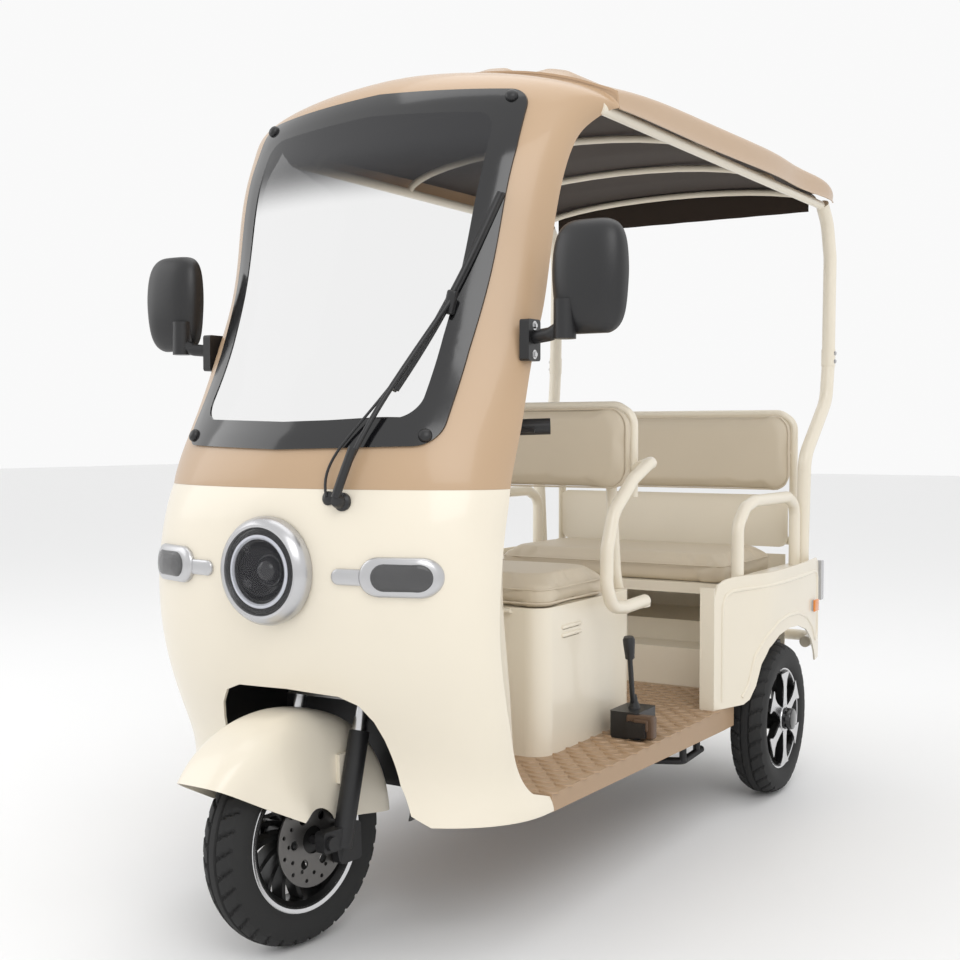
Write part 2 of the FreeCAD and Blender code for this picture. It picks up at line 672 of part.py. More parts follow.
def driver_seat_box():
    y0, y1 = SEAT_BOX
    outer = rounded_box(-SEAT_BOX_HALF, SEAT_BOX_HALF, y0, y1, FLOOR_TOP, SEAT_BOX_TOP, 46)
    inner = rounded_box(-SEAT_BOX_HALF + 4, SEAT_BOX_HALF - 4, y0 + 4, y1 - 4, FLOOR_TOP - 1,
                        SEAT_BOX_TOP - 4, 42)
    shell = outer.cut(inner)
    knuckles = []
    for side in (-1, 1):
        for place in (-30.5, 30.5):
            x = side * HINGE_X + place
            knuckles.append(rod((x - 12, LID_Y, LID_Z), (x + 12, LID_Y, LID_Z), HINGE_RADIUS))
            knuckles.append(box(x - 12, x + 12, LID_Y, y0 + 2, LID_Z - HINGE_RADIUS, LID_Z - 1))
    shell = fuse([shell] + knuckles)
    hatch = rounded_box(-190, 190, y0 + 60, y1 - 110, SEAT_BOX_TOP - 10, SEAT_BOX_TOP + 5, 30)
    shell = shell.cut(hatch)
    for side in (-1, 1):
        for z in (528, 546):
            slot = rounded_box(-300, 300, y0 + 92, y0 + 172, z, z + 6, 2.9, "x")
            shell = shell.cut(slot.common(box(min(side * 200, side * 300), max(side * 200, side * 300),
                                              0, 2000, 0, 1000)))
    return shell


def battery_pack():
    y0, y1 = SEAT_BOX
    return box(-180, 180, y0 + 60, y1 - 140, FLOOR_TOP + 0.3, 470)


def driver_cushion():
    """The seat pad, which is the lid of the box, with a hinge knuckle on each side of its front edge."""
    y0, y1 = SEAT_BOX
    pad = soft_box(-286, 286, y0 - 14, 832, SEAT_BOX_TOP + 0.3, CUSHION_TOP, 18)
    knuckles = []
    for side in (-1, 1):
        x = side * HINGE_X
        knuckles.append(rod((x - 18, LID_Y, LID_Z), (x + 18, LID_Y, LID_Z), HINGE_RADIUS))
        knuckles.append(box(x - 18, x + 18, LID_Y - 3, LID_Y + 3, LID_Z, SEAT_BOX_TOP + 6))
    return fuse([pad] + knuckles)


def driver_backrest():
    return soft_box(*BACK_PAD, 20)


def driver_seat_frame():
    """Tube hoop behind the pad, uprights to the seat box, and an arm hoop on each side."""
    x0, x1, y0, y1, z0, z1 = BACK_PAD
    y = y1 + 14
    hoop = pipe([(x0 + 20, y, z0 - 10), (x0 + 20, y, z1 - 30), (x0 + 60, y, z1 - 6), (x1 - 60, y, z1 - 6),
                 (x1 - 20, y, z1 - 30), (x1 - 20, y, z0 - 10)], 12, 40)
    uprights = []
    for side in (-1, 1):
        uprights.append(pipe([(side * 236, y, z1 - 60), (side * 236, y, z0), (side * 236, y1 + 40, 640),
                              (side * 236, SEAT_BOX[1] - 14, SEAT_BOX_TOP - 8)], 13, 80))
        arm = pipe([(side * (x1 - 20), y, 890), (side * 338, y + 6, 908), (side * 342, y - 22, 906),
                    (side * 340, 800, 872), (side * 338, 700, 800),
                    (side * 336, 672, 720), (side * 334, 674, 640),
                    (side * 332, 706, 588), (side * 330, 780, 579), (side * 326, 902, 581)], 15, 60)
        foot = box(min(side * 262, side * 334), max(side * 262, side * 334), 884, 916, 566, 574)
        uprights.append(foot)
        uprights.append(arm)
    cross = rod((-236, y, 900), (236, y, 900), 10)
    frame = fuse([hoop, cross] + uprights)
    pad = box(x0 - 4, x1 + 4, y0 - 4, y1 + 0.3, z0 - 4, z1 + 4)
    hull = box(-SEAT_BOX_HALF - 0.3, SEAT_BOX_HALF + 0.3, SEAT_BOX[0], SEAT_BOX[1] + 0.3, FLOOR_TOP,
               SEAT_BOX_TOP + 0.3)
    return frame.cut(pad).cut(hull)


def parking_brake():
    base = rounded_box(300, 372, 760, 868, FLOOR_TOP, FLOOR_TOP + 62, 10)
    lever = pipe([(340, 812, FLOOR_TOP + 50), (340, 800, 380), (340, 786, 468)], 6, 40)
    knob = rod((340, 787, 462), (340, 779, 512), 11)
    pedal = box(352, 396, 742, 800, FLOOR_TOP + 10, FLOOR_TOP + 44)
    return fuse([base, lever, knob, pedal])


def passenger_tub():
    """Step riser, step top, bench base and its lower rear panel, in sheet."""
    t = 4.0
    half = TUB_HALF - 34
    riser = box(-half, half, STEP_FRONT, STEP_FRONT + t, FLOOR_TOP - 6, STEP_TOP)
    step = box(-half, half, STEP_FRONT, BENCH_FRONT + 60, STEP_TOP - t, STEP_TOP)
    bench_riser = box(-half, half, BENCH_FRONT + 56, BENCH_FRONT + 60, STEP_TOP - t, STEP_TOP + 60)
    deck = box(-half, half, BENCH_FRONT + 56, BENCH_BACK, STEP_TOP + 56, STEP_TOP + 60)
    seat_top = box(-half, half, 1372, BENCH_BACK, BENCH_TOP - 20, BENCH_TOP - 16)
    seat_lip = box(-half, half, 1368, 1372 + t, BENCH_TOP - 44, BENCH_TOP - 16)
    back = box(-half, half, BENCH_BACK - t, BENCH_BACK, STEP_TOP - 44, BENCH_TOP + 30)
    legs = []
    for side in (-1, 1):
        legs.append(rod((side * (half - 20), 1400, FLOOR_TOP + 0.3),
                        (side * (half - 20), 1400, BENCH_TOP - 18), 12))
    return fuse([riser, step, bench_riser, deck, seat_top, seat_lip, back] + legs)


def bench_cushion():
    return soft_box(-TUB_HALF + 40, TUB_HALF - 40, 1362, 1784, BENCH_TOP - 15.7, BENCH_TOP + 44, 18)


def bench_backrest():
    return soft_box(*REAR_PAD, 20)


def rear_panel():
    """The upright panel between the bench and the backrest pad."""
    return rounded_box(-372, 372, 1826, 1836.7, BENCH_TOP + 52, 796, 24, "y")


def bench_back_frame():
    x0, x1, y0, y1, z0, z1 = REAR_PAD
    y = y1 + 12.3
    hoop = pipe([(x0 + 14, y, 560), (x0 + 14, y, z1 - 30), (x0 + 54, y, z1 - 4), (x1 - 54, y, z1 - 4),
                 (x1 - 14, y, z1 - 30), (x1 - 14, y, 560)], 12, 44)
    bars = [rod((x0 + 14, y, z), (x1 - 14, y, z), 12) for z in (660, 780, 920)]
    return fuse([hoop] + bars)


# Plan and outline of a rear side panel: bottom front corner, arch, tail.
def side_panel_left():
    outline = [(1152, FLOOR_TOP + 0.3), (1152, 560), (1168, 596), (1200, SIDE_TOP - 4),
               (1230, SIDE_TOP), (1800, SIDE_TOP + 6),
               (1838, SIDE_TOP - 10), (1846, 560), (1842, 324), (1790, 322), (1776, 350), (1736, 392),
               (1680, 426), (1600, 446), (1515, 450), (1438, 440), (1375, 414), (1338, 376),
               (1316, 322), (1292, 290), (1268, FLOOR_TOP + 0.3)]
    slab = prism_x(outline, 330, 520)
    front, arch, rear = V(404, 1152, 0), V(474, 1380, 0), V(462, 1850, 0)

    def sheet(offset):
        pts = [front, V(424, 1215, 0), V(452, 1300, 0), arch, V(480, 1500, 0), V(478, 1680, 0), rear]
        return [V(p.x + offset, p.y, 200) for p in pts]
    outer, inner = sheet(0), sheet(-SIDE_SKIN)
    edges = [spline(outer), Part.makeLine(outer[-1], inner[-1]), spline(list(reversed(inner))),
             Part.makeLine(inner[0], outer[0])]
    skin = Part.Face(Part.Wire(edges)).extrude(V(0, 0, 500)).common(slab)
    end = box(368, 406, 1148, 1153, FLOOR_TOP + 0.3, 590)
    cap = box(TUB_HALF - 8, 470, 1240, 1838, SIDE_TOP - 18, SIDE_TOP - 13).common(
        Part.Face(Part.Wire([spline(sheet(-2)), Part.makeLine(sheet(-2)[-1], V(330, 1850, 200)),
                             Part.makeLine(V(330, 1850, 200), V(330, 1152, 200)),
                             Part.makeLine(V(330, 1152, 200), sheet(-2)[0])])).extrude(V(0, 0, 500)))
    return fuse([skin, end, cap])


def armrests():
    foot = SIDE_TOP - 12.7
    hoop = pipe([(HOOP_X, 1276, foot), (HOOP_X, 1274, 740), (HOOP_X, 1330, 784), (HOOP_X, 1400, 798),
                 (HOOP_X, 1680, 798), (HOOP_X, 1748, 772), (HOOP_X, 1748, foot)], HOOP_RADIUS, 46)
    return both_sides(hoop)


def tail_lamps():
    lamp = rounded_box(446, 470, 1812, 1872, 490, 606, 8, "x")
    amber = box(475, 480, 1740, 1780, 470, 500)
    return both_sides(Part.makeCompound([lamp.cut(box(300, 500, 1800, 1846.3, 400, 700)), amber]))


PLATE_HOLE_X = 70.0         # two holes for a number plate or a small rack
PLATE_HOLE_Z = 432.0
PLATE_HOLE_RADIUS = 3.5


def rear_bumper():
    bar = pipe([(-440, 1790, 372), (-440, 1890, 372), (-380, 1915, 372), (380, 1915, 372), (440, 1890, 372),
                (440, 1790, 372)], 16, 50)
    stays = [box(side * RAIL_X - 14, side * RAIL_X + 14, 1896.3, 1912, 346, 374) for side in (-1, 1)]
    plate = rounded_box(-100, 100, 1912, 1916, 366, 456, 8, "y")
    for side in (-1, 1):
        x = side * PLATE_HOLE_X
        plate = plate.cut(rod((x, 1900, PLATE_HOLE_Z), (x, 1930, PLATE_HOLE_Z), PLATE_HOLE_RADIUS))
    return fuse([bar, plate] + stays)


# ---- front wheel and steering --------------------------------------------------------------

def about_axle(shape, x, y):
    shape.translate(V(x, y, WHEEL_RADIUS))
    return shape


def revolve_x(points):
    face = Part.Face(Part.makePolygon([V(x, 0, r) for x, r in points] + [V(points[0][0], 0, points[0][1])]))
    return face.revolve(V(0, 0, 0), V(1, 0, 0), 360)


def tyre(width):
    half = width / 2
    outline = [V(-RIM_HALF_WIDTH + 4, 0, BEAD_RADIUS + 0.2), V(-half + 3, 0, 150), V(-half, 0, 166),
               V(-half + 2, 0, 183), V(-half * 0.76, 0, 196), V(-half * 0.4, 0, 202.6), V(0, 0, WHEEL_RADIUS)]
    outline = outline + [V(-p.x, 0, p.z) for p in reversed(outline[:-1])]
    curve = spline(outline)
    face = Part.Face(Part.Wire([curve, Part.makeLine(outline[-1], outline[0])]))
    return face.revolve(V(0, 0, 0), V(1, 0, 0), 360)


def rim_barrel():
    h = RIM_HALF_WIDTH
    outer = BEAD_RADIUS
    return revolve_x([(-h - 2, FLANGE_RADIUS), (-h - 2, FLANGE_RADIUS - 10),
                      (-h + 6, outer - 10), (h - 6, outer - 10),
                      (h + 2, FLANGE_RADIUS - 10), (h + 2, FLANGE_RADIUS), (h - 1, FLANGE_RADIUS),
                      (h - 3, outer - 0.2), (-h + 3, outer - 0.2), (-h + 1, FLANGE_RADIUS)])


def spoke(inner, outer, width_in, width_out, sweep, x0, x1):
    """A curved spoke: its sides are arcs, and its far end is turned by sweep degrees."""
    def at(radius, angle):
        return V(x0, -radius * math.sin(rad(angle)), radius * math.cos(rad(angle)))
    middle = (inner + outer) / 2
    side = [(inner, -width_in / inner), (middle, -(width_in + width_out) / 2 / middle),
            (outer, -width_out / outer)]
    left = [at(r, math.degrees(a) / 2 + sweep * (r - inner) / (outer - inner)) for r, a in side]
    right = [at(r, -math.degrees(a) / 2 + sweep * (r - inner) / (outer - inner)) for r, a in side]
    edges = [Part.Arc(*left).toShape(), Part.makeLine(left[-1], right[-1]),
             Part.Arc(*reversed(right)).toShape(), Part.makeLine(right[0], left[0])]
    return Part.Face(Part.Wire(edges)).extrude(V(x1 - x0, 0, 0))


def front_rim():
    parts = [rim_barrel(), rod((-44, 0, 0), (44, 0, 0), 30), rod((38, 0, 0), (DISC_X - 2, 0, 0), 40)]
    arm = spoke(26, BEAD_RADIUS - 8, 12, 9, 24, -14, 14)
    for k in range(16):
        parts.append(arm.rotated(V(0, 0, 0), V(1, 0, 0), 360.0 * k / 16))
    rim = fuse(parts).cut(rod((-80, 0, 0), (80, 0, 0), AXLE_RADIUS + AXLE_FIT))
    return rim


def brake_disc():
    disc = rod((DISC_X - 2, 0, 0), (DISC_X + 2, 0, 0), DISC_RADIUS)
    disc = disc.cut(rod((DISC_X - 3, 0, 0), (DISC_X + 3, 0, 0), 26))
    for k in range(24):
        angle = rad(15 * k)
        radius = DISC_RADIUS - (12 if k % 2 else 26)
        y, z = radius * math.sin(angle), radius * math.cos(angle)
        disc = disc.cut(rod((DISC_X - 3, y, z), (DISC_X + 3, y, z), 4))
    for k in range(6):
        angle = rad(60 * k + 30)
        y, z = 48 * math.sin(angle), 48 * math.cos(angle)
        disc = disc.cut(rod((DISC_X - 3, y, z), (DISC_X + 3, y, z), 9))
    return disc


def rear_rim():
    parts = [rim_barrel(), rod((-36, 0, 0), (46, 0, 0), 34)]
    arm = spoke(30, BEAD_RADIUS - 6, 30, 22, 0, 24, 42)
    for k in range(6):
        parts.append(arm.rotated(V(0, 0, 0), V(1, 0, 0), 60.0 * k))
    parts.append(rod((44, 0, 0), (68, 0, 0), 27))
    return fuse(parts).cut(rod((-80, 0, 0), (60, 0, 0), AXLE_RADIUS + 4 + AXLE_FIT))


def leg_point(x, z, ahead=0.0):
    return (x, axis_y(z) - ahead, z)


def fork():
    """Bright stanchions, their lower yoke, and the stem in the head tube."""
    low, high = 380.0, YOKE_TOP_Z
    parts = [rod(leg_point(side * LEG_X, low), leg_point(side * LEG_X, high - 4), STANCHION_RADIUS)
             for side in (-1, 1)]
    yoke = box(-LEG_X - 22, LEG_X + 22, -26, 26, 0, 30)
    yoke = yoke.makeFillet(12, [e for e in yoke.Edges if e.BoundBox.ZLength > 20])
    yoke.rotate(V(0, 0, 0), V(1, 0, 0), -RAKE)
    yoke.translate(V(0, axis_y(high - 30), high - 30))
    stem = rod((0, axis_y(high - 10), high - 10), (0, axis_y(956), 956), STEM_RADIUS)
    return fuse(parts + [yoke, stem])


def fork_sliders():
    """Lower legs with their axle lugs, and the axle between them."""
    parts = []
    for side in (-1, 1):
        parts.append(rod(leg_point(side * LEG_X, 186), leg_point(side * LEG_X, 398), SLIDER_RADIUS))
        lug = box(side * LEG_X - 12, side * LEG_X + 12, -18, axis_y(WHEEL_RADIUS) + 4, WHEEL_RADIUS - 18,
                  WHEEL_RADIUS + 22)
        parts.append(lug.makeFillet(8, [e for e in lug.Edges if e.BoundBox.XLength > 20]))
        parts.append(rod((side * (LEG_X - 4), 0, WHEEL_RADIUS), (side * (LEG_X + 20), 0, WHEEL_RADIUS), 13))
    parts.append(rod((-LEG_X, 0, WHEEL_RADIUS), (LEG_X, 0, WHEEL_RADIUS), AXLE_RADIUS))
    sliders = fuse(parts)
    for side in (-1, 1):
        socket = rod(leg_point(side * LEG_X, 379), leg_point(side * LEG_X, 420), STANCHION_RADIUS)
        sliders = sliders.cut(socket)
    return sliders


# angle from forward over the top, crown radius, half width
FENDER_STATIONS = (
    (28.0, 284.0, 70.0), (45.0, 274.0, 76.0), (65.0, 260.0, 74.0), (85.0, 249.0, 66.0),
    (110.0, 240.0, 61.0), (140.0, 235.0, 60.0), (170.0, 232.0, 60.0), (190.0, 231.0, 60.0),
)
FENDER_SKIN = 3.0


def fender_wire(angle, crown, half):
    def point(x, radius):
        return V(x, -radius * math.cos(rad(angle)), radius * math.sin(rad(angle)) + WHEEL_RADIUS)

    def line(inset):
        points = []
        for k in range(-6, 7):
            turn = rad(90.0 * abs(k) / 6)
            across = math.sin(turn) ** 0.55 if k else 0.0
            drop = 1 - max(math.cos(turn), 0) ** 0.75
            x = math.copysign((half - inset) * across, k) if k else 0.0
            points.append(point(x, crown - inset - 66 * drop))
        points.insert(0, point(-(half - inset), 60))
        points.append(point(half - inset, 60))
        return points
    outer, inner = line(0), line(FENDER_SKIN)
    edges = []
    for pts, flip in ((outer, False), (inner, True)):
        run = list(reversed(pts)) if flip else pts
        edges += [Part.makeLine(run[0], run[1]), spline(run[1:-1]), Part.makeLine(run[-2], run[-1])]
        end_a, end_b = (outer[-1], inner[-1]) if not flip else (inner[0], outer[0])
        edges.append(Part.makeLine(end_a, end_b))
    return Part.Wire(edges)


def front_fender():
    hood = Part.makeLoft([fender_wire(*s) for s in FENDER_STATIONS], True, False)
    keep = [(-330, 420), (-252, 356), (-224, 342), (-140, 298), (-60, 258), (-24, 240), (10, 236), (60, 232),
            (132, 224), (205, 214), (262, 210), (280, 520), (-330, 520)]
    fender = hood.common(prism_x(keep, -120, 120))
    brackets = []
    for side in (-1, 1):
        y = axis_y(330) - 4
        x0, x1 = sorted((side * (61 - FENDER_SKIN), side * (LEG_X - SLIDER_RADIUS + 2)))
        brackets.append(box(x0, x1, y - 16, y + 16, 300, 356))
    tie = fuse([fender] + brackets)
    for side in (-1, 1):
        tie = tie.cut(rod(leg_point(side * LEG_X, 186), leg_point(side * LEG_X, 398), SLIDER_RADIUS + 0.3))
    return tie


def brake_caliper():
    """A block astride the disc, carried by the left slider."""
    body = rounded_box(DISC_X - 14, LEG_X - 10, 46, 104, 148, 222, 8, "x")
    body = body.cut(box(DISC_X - 6, DISC_X + 6, 30, 96, 130, 240))
    gap = SLIDER_RADIUS + 0.3
    return body.cut(rod(leg_point(LEG_X, 120), leg_point(LEG_X, 398), gap))


def handlebar():
    """Swept bar with its clamp, grips and hand levers."""
    y = axis_y(952)
    clamp = rounded_box(-34, 34, y - 24, y + 24, 930, 962, 8)
    clamp = clamp.cut(rod((0, axis_y(900), 900), (0, axis_y(990), 990), STEM_RADIUS))
    bar_z = BAR_Z
    parts = [clamp]
    bar = pipe([(-GRIP_X, y + GRIP_BACK, bar_z), (-190, y + 70, bar_z), (-110, y + 8, bar_z - 16),
                (-30, y, bar_z - 26), (30, y, bar_z - 26), (110, y + 8, bar_z - 16), (190, y + 70, bar_z),
                (GRIP_X, y + GRIP_BACK, bar_z)], 11, 60)
    parts.append(bar)
    for side in (-1, 1):
        outer = V(side * GRIP_X, y + GRIP_BACK, bar_z)
        way = (outer - V(side * 190, y + 70, bar_z)).normalize()
        inner = V(side * 190, y + 70, bar_z) + way * 36
        parts.append(rod(tuple(inner), tuple(outer + way * 6), 16.5))
        lever_root = inner + V(0, -26, -4)
        lever_end = outer + V(side * 6, -52, -8)
        parts.append(pipe([tuple(inner + V(0, -6, 0)), tuple(lever_root), tuple(lever_end)], 5, 12))
    cover = rounded_box(-88, 88, y - 66, y + 22, 962, 1006, 22)
    parts.append(cover)
    return fuse(parts)


# ---- assembly ------------------------------------------------------------------------------

def steered(shape):
    """Turn a straight-ahead shape about the raked steering axis, to how the vehicle is parked."""
    axis = V(0, math.sin(rad(RAKE)), math.cos(rad(RAKE)))
    return shape.rotated(V(0, axis_y(WHEEL_RADIUS), WHEEL_RADIUS), axis, STEER_AT_REST)


# pieces that are notched where another one passes through or seats in them
NOTCHED = (
    ("floor_pan", "head_frame"), ("passenger_tub", "rear_subframe"), ("side_panel_left", "rear_posts"),
    ("side_panel_right", "rear_posts"), ("handlebar", "fork"), ("front_tyre", "front_rim"),
    ("rear_tyre_left", "rear_rim_left"), ("rear_tyre_right", "rear_rim_right"),
    ("roof_frame", "windshield_frame"), ("roof_frame", "rear_posts"),
    ("shell_liner", "chassis_frame"), ("shell_liner", "head_frame"), ("floor_pan", "shell_liner"),
    ("passenger_tub", "chassis_frame"),
)


def build():
    parts = {
        "front_shell": front_shell(), "shell_liner": shell_liner(), "dash_panel": dash_panel(),
        "windshield_frame": windshield_frame(), "windshield_border": windshield_border(),
        "windshield_glass": windshield_glass(), "headlight": headlight(),
        "turn_signals": turn_signals(), "wiper": wiper(), "mirror_left": mirror_left(),
        "mirror_right": mirror_x(mirror_left()), "roof_panel": roof_panel(),
        "roof_liner": roof_liner(), "roof_frame": roof_frame(), "rear_posts": rear_posts(),
        "floor_pan": floor_pan(), "floor_skirts": floor_skirts(),
        "chassis_frame": chassis_frame(), "rear_subframe": rear_subframe(),
        "head_frame": head_frame(), "under_brace": under_brace(),
        "rear_axle": rear_axle(), "leaf_springs": leaf_springs(),
        "driver_seat_box": driver_seat_box(), "battery_pack": battery_pack(),
        "driver_cushion": driver_cushion(), "driver_backrest": driver_backrest(),
        "driver_seat_frame": driver_seat_frame(), "parking_brake": parking_brake(),
        "passenger_tub": passenger_tub(), "bench_cushion": bench_cushion(),
        "bench_backrest": bench_backrest(), "rear_panel": rear_panel(),
        "bench_back_frame": bench_back_frame(), "side_panel_left": side_panel_left(),
        "side_panel_right": mirror_x(side_panel_left()), "armrests": armrests(),
        "tail_lamps": tail_lamps(), "rear_bumper": rear_bumper(),
        "fork": steered(fork()), "fork_sliders": steered(fork_sliders()),
        "front_fender": steered(front_fender()), "brake_caliper": steered(brake_caliper()),
        "handlebar": steered(handlebar()),
        "front_tyre": steered(about_axle(tyre(FRONT_TYRE_WIDTH), 0, 0)),
        "front_rim": steered(about_axle(front_rim(), 0, 0)),
        "brake_disc": steered(about_axle(brake_disc(), 0, 0)),
    }
    left_tyre = about_axle(tyre(REAR_TYRE_WIDTH), REAR_WHEEL_X, WHEELBASE)
    left_rim = about_axle(rear_rim(), REAR_WHEEL_X, WHEELBASE)
    parts["rear_tyre_left"], parts["rear_tyre_right"] = left_tyre, mirror_x(left_tyre)
    parts["rear_rim_left"], parts["rear_rim_right"] = left_rim, mirror_x(left_rim)
    for piece, carrier in NOTCHED:
        parts[piece] = parts[piece].cut(parts[carrier])
    return parts


def write_parts():
    os.makedirs("parts", exist_ok=True)
    parts = build()
    low = min(shape.BoundBox.YMin for shape in parts.values())
    high = max(shape.BoundBox.YMax for shape in parts.values())
    middle = round((low + high) / 2, 1)
    print("middle of the vehicle is", middle, "behind the front axle")
    for name, shape in parts.items():
        shape.translate(V(0, -middle, 0))
        print(name, len(shape.Solids), "solids, volume", round(shape.Volume / 1000), "cm3", shape.isValid())
        shape.exportStep(f"parts/{name}.step")


write_parts()
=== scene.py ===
"""Finish of a small electric passenger tricycle, laid out as an add-on and run as a script."""
import json
import math

import bmesh
import bpy
from mathutils import Matrix, Vector


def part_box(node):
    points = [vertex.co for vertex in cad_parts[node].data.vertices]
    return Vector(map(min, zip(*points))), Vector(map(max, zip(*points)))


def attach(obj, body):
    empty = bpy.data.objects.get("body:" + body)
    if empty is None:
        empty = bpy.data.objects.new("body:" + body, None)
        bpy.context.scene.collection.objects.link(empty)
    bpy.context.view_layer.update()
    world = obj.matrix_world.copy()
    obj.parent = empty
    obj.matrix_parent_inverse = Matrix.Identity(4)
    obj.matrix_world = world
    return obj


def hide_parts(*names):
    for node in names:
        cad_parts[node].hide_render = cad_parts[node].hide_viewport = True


bl_info = {
    "name": "Passenger Tricycle",
    "version": (1, 0, 0),
    "blender": (4, 5, 0),
    "location": "View3D > Sidebar > Tricycle",
    "description": "Builds the finish of a passenger tricycle round its packed frame",
    "category": "Object",
}

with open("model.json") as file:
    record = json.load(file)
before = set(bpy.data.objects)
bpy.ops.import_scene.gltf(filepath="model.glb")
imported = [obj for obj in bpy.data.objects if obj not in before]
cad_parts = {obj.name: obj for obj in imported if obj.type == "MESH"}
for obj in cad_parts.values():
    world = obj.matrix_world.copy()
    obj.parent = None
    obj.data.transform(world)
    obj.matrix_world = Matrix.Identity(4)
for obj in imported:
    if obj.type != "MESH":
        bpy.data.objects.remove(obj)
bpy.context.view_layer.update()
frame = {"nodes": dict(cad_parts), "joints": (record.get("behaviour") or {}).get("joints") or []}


# ---- sizes and colours a user would change ---------------------------------------------------

class TRIKE_PG_finish(bpy.types.PropertyGroup):
    """Colours of the paint, plastic and cloth."""
    cream: bpy.props.FloatVectorProperty(
        name="Cream", description="Colour of the front shell, tubes and side panels",
        default=(0.80, 0.735, 0.61), subtype="COLOR", size=3, min=0, max=1)
    tan: bpy.props.FloatVectorProperty(
        name="Tan", description="Colour of the screen frame and roof",
        default=(0.49, 0.335, 0.205), subtype="COLOR", size=3, min=0, max=1)
    floor_tan: bpy.props.FloatVectorProperty(
        name="Floor tan", description="Colour of the ribbed floor",
        default=(0.40, 0.27, 0.165), subtype="COLOR", size=3, min=0, max=1)
    seat: bpy.props.FloatVectorProperty(
        name="Seat", description="Colour of the seat vinyl",
        default=(0.60, 0.52, 0.40), subtype="COLOR", size=3, min=0, max=1)
    lining: bpy.props.FloatVectorProperty(
        name="Lining", description="Colour of the roof lining",
        default=(0.032, 0.020, 0.013), subtype="COLOR", size=3, min=0, max=1)


class TRIKE_PG_view(bpy.types.PropertyGroup):
    """Lens, place and turn of the camera."""
    lens: bpy.props.FloatProperty(
        name="Lens", description="Focal length of the camera in millimetres",
        default=49.29, min=10, max=200)
    camera_place: bpy.props.FloatVectorProperty(
        name="Camera place", description="Where the camera stands",
        default=(1.5865, -2.8201, 0.9727), subtype="TRANSLATION", unit="LENGTH", size=3)
    camera_turn: bpy.props.FloatVectorProperty(
        name="Camera turn", description="Turn of the camera",
        default=(math.radians(88.048), 0.0, math.radians(30.935)), subtype="EULER", unit="ROTATION", size=3)


# ---- shader helpers ----------------------------------------------------------------------------

def new_group(name, inputs, outputs):
    group = bpy.data.node_groups.new(name, "ShaderNodeTree")
    for label, kind, value in inputs:
        socket = group.interface.new_socket(label, in_out="INPUT", socket_type=kind)
        if value is not None:
            socket.default_value = value
    for label, kind in outputs:
        group.interface.new_socket(label, in_out="OUTPUT", socket_type=kind)
    enter = group.nodes.new("NodeGroupInput")
    leave = group.nodes.new("NodeGroupOutput")
    return group, enter, leave


def math_node(tree, kind, a, b=None):
    node = tree.nodes.new("ShaderNodeMath")
    node.operation = kind
    for index, value in enumerate((a, b)):
        if value is None:
            continue
        if isinstance(value, (int, float)):
            node.inputs[index].default_value = value
        else:
            tree.links.new(value, node.inputs[index])
    return node.outputs[0]


def noise_node(tree, vector, scale, detail=3.0, roughness=0.5):
    node = tree.nodes.new("ShaderNodeTexNoise")
    tree.links.new(vector, node.inputs["Vector"])
    if isinstance(scale, (int, float)):
        node.inputs["Scale"].default_value = scale
    else:
        tree.links.new(scale, node.inputs["Scale"])
    node.inputs["Detail"].default_value = detail
    node.inputs["Roughness"].default_value = roughness
    return node.outputs["Fac"]


def variation_group():
    """Slow change of tone and a fine grain."""
    group, enter, leave = new_group(
        "tone and grain",
        [("Vector", "NodeSocketVector", None), ("Color", "NodeSocketColor", None),
         ("Amount", "NodeSocketFloat", 0.06), ("Grain Scale", "NodeSocketFloat", 600.0),
         ("Roughness", "NodeSocketFloat", 0.4), ("Roughness Change", "NodeSocketFloat", 0.08)],
        [("Color", "NodeSocketColor"), ("Roughness", "NodeSocketFloat"), ("Height", "NodeSocketFloat")])
    slow = noise_node(group, enter.outputs["Vector"], 5.0, 2.0)
    fine = noise_node(group, enter.outputs["Vector"], enter.outputs["Grain Scale"], 2.0)
    swing = math_node(group, "SUBTRACT", slow, 0.5)
    factor = math_node(group, "MULTIPLY_ADD", swing, enter.outputs["Amount"])
    factor.node.inputs[2].default_value = 1.0
    mix = group.nodes.new("ShaderNodeVectorMath")
    mix.operation = "SCALE"
    group.links.new(enter.outputs["Color"], mix.inputs[0])
    group.links.new(factor, mix.inputs["Scale"])
    rough = math_node(group, "MULTIPLY_ADD", swing, enter.outputs["Roughness Change"])
    group.links.new(enter.outputs["Roughness"], rough.node.inputs[2])
    group.links.new(mix.outputs[0], leave.inputs["Color"])
    group.links.new(rough, leave.inputs["Roughness"])
    group.links.new(fine, leave.inputs["Height"])
    return group


GROUPS = {}


def shared(name, maker):
    if name not in GROUPS:
        GROUPS[name] = maker()
    return GROUPS[name]


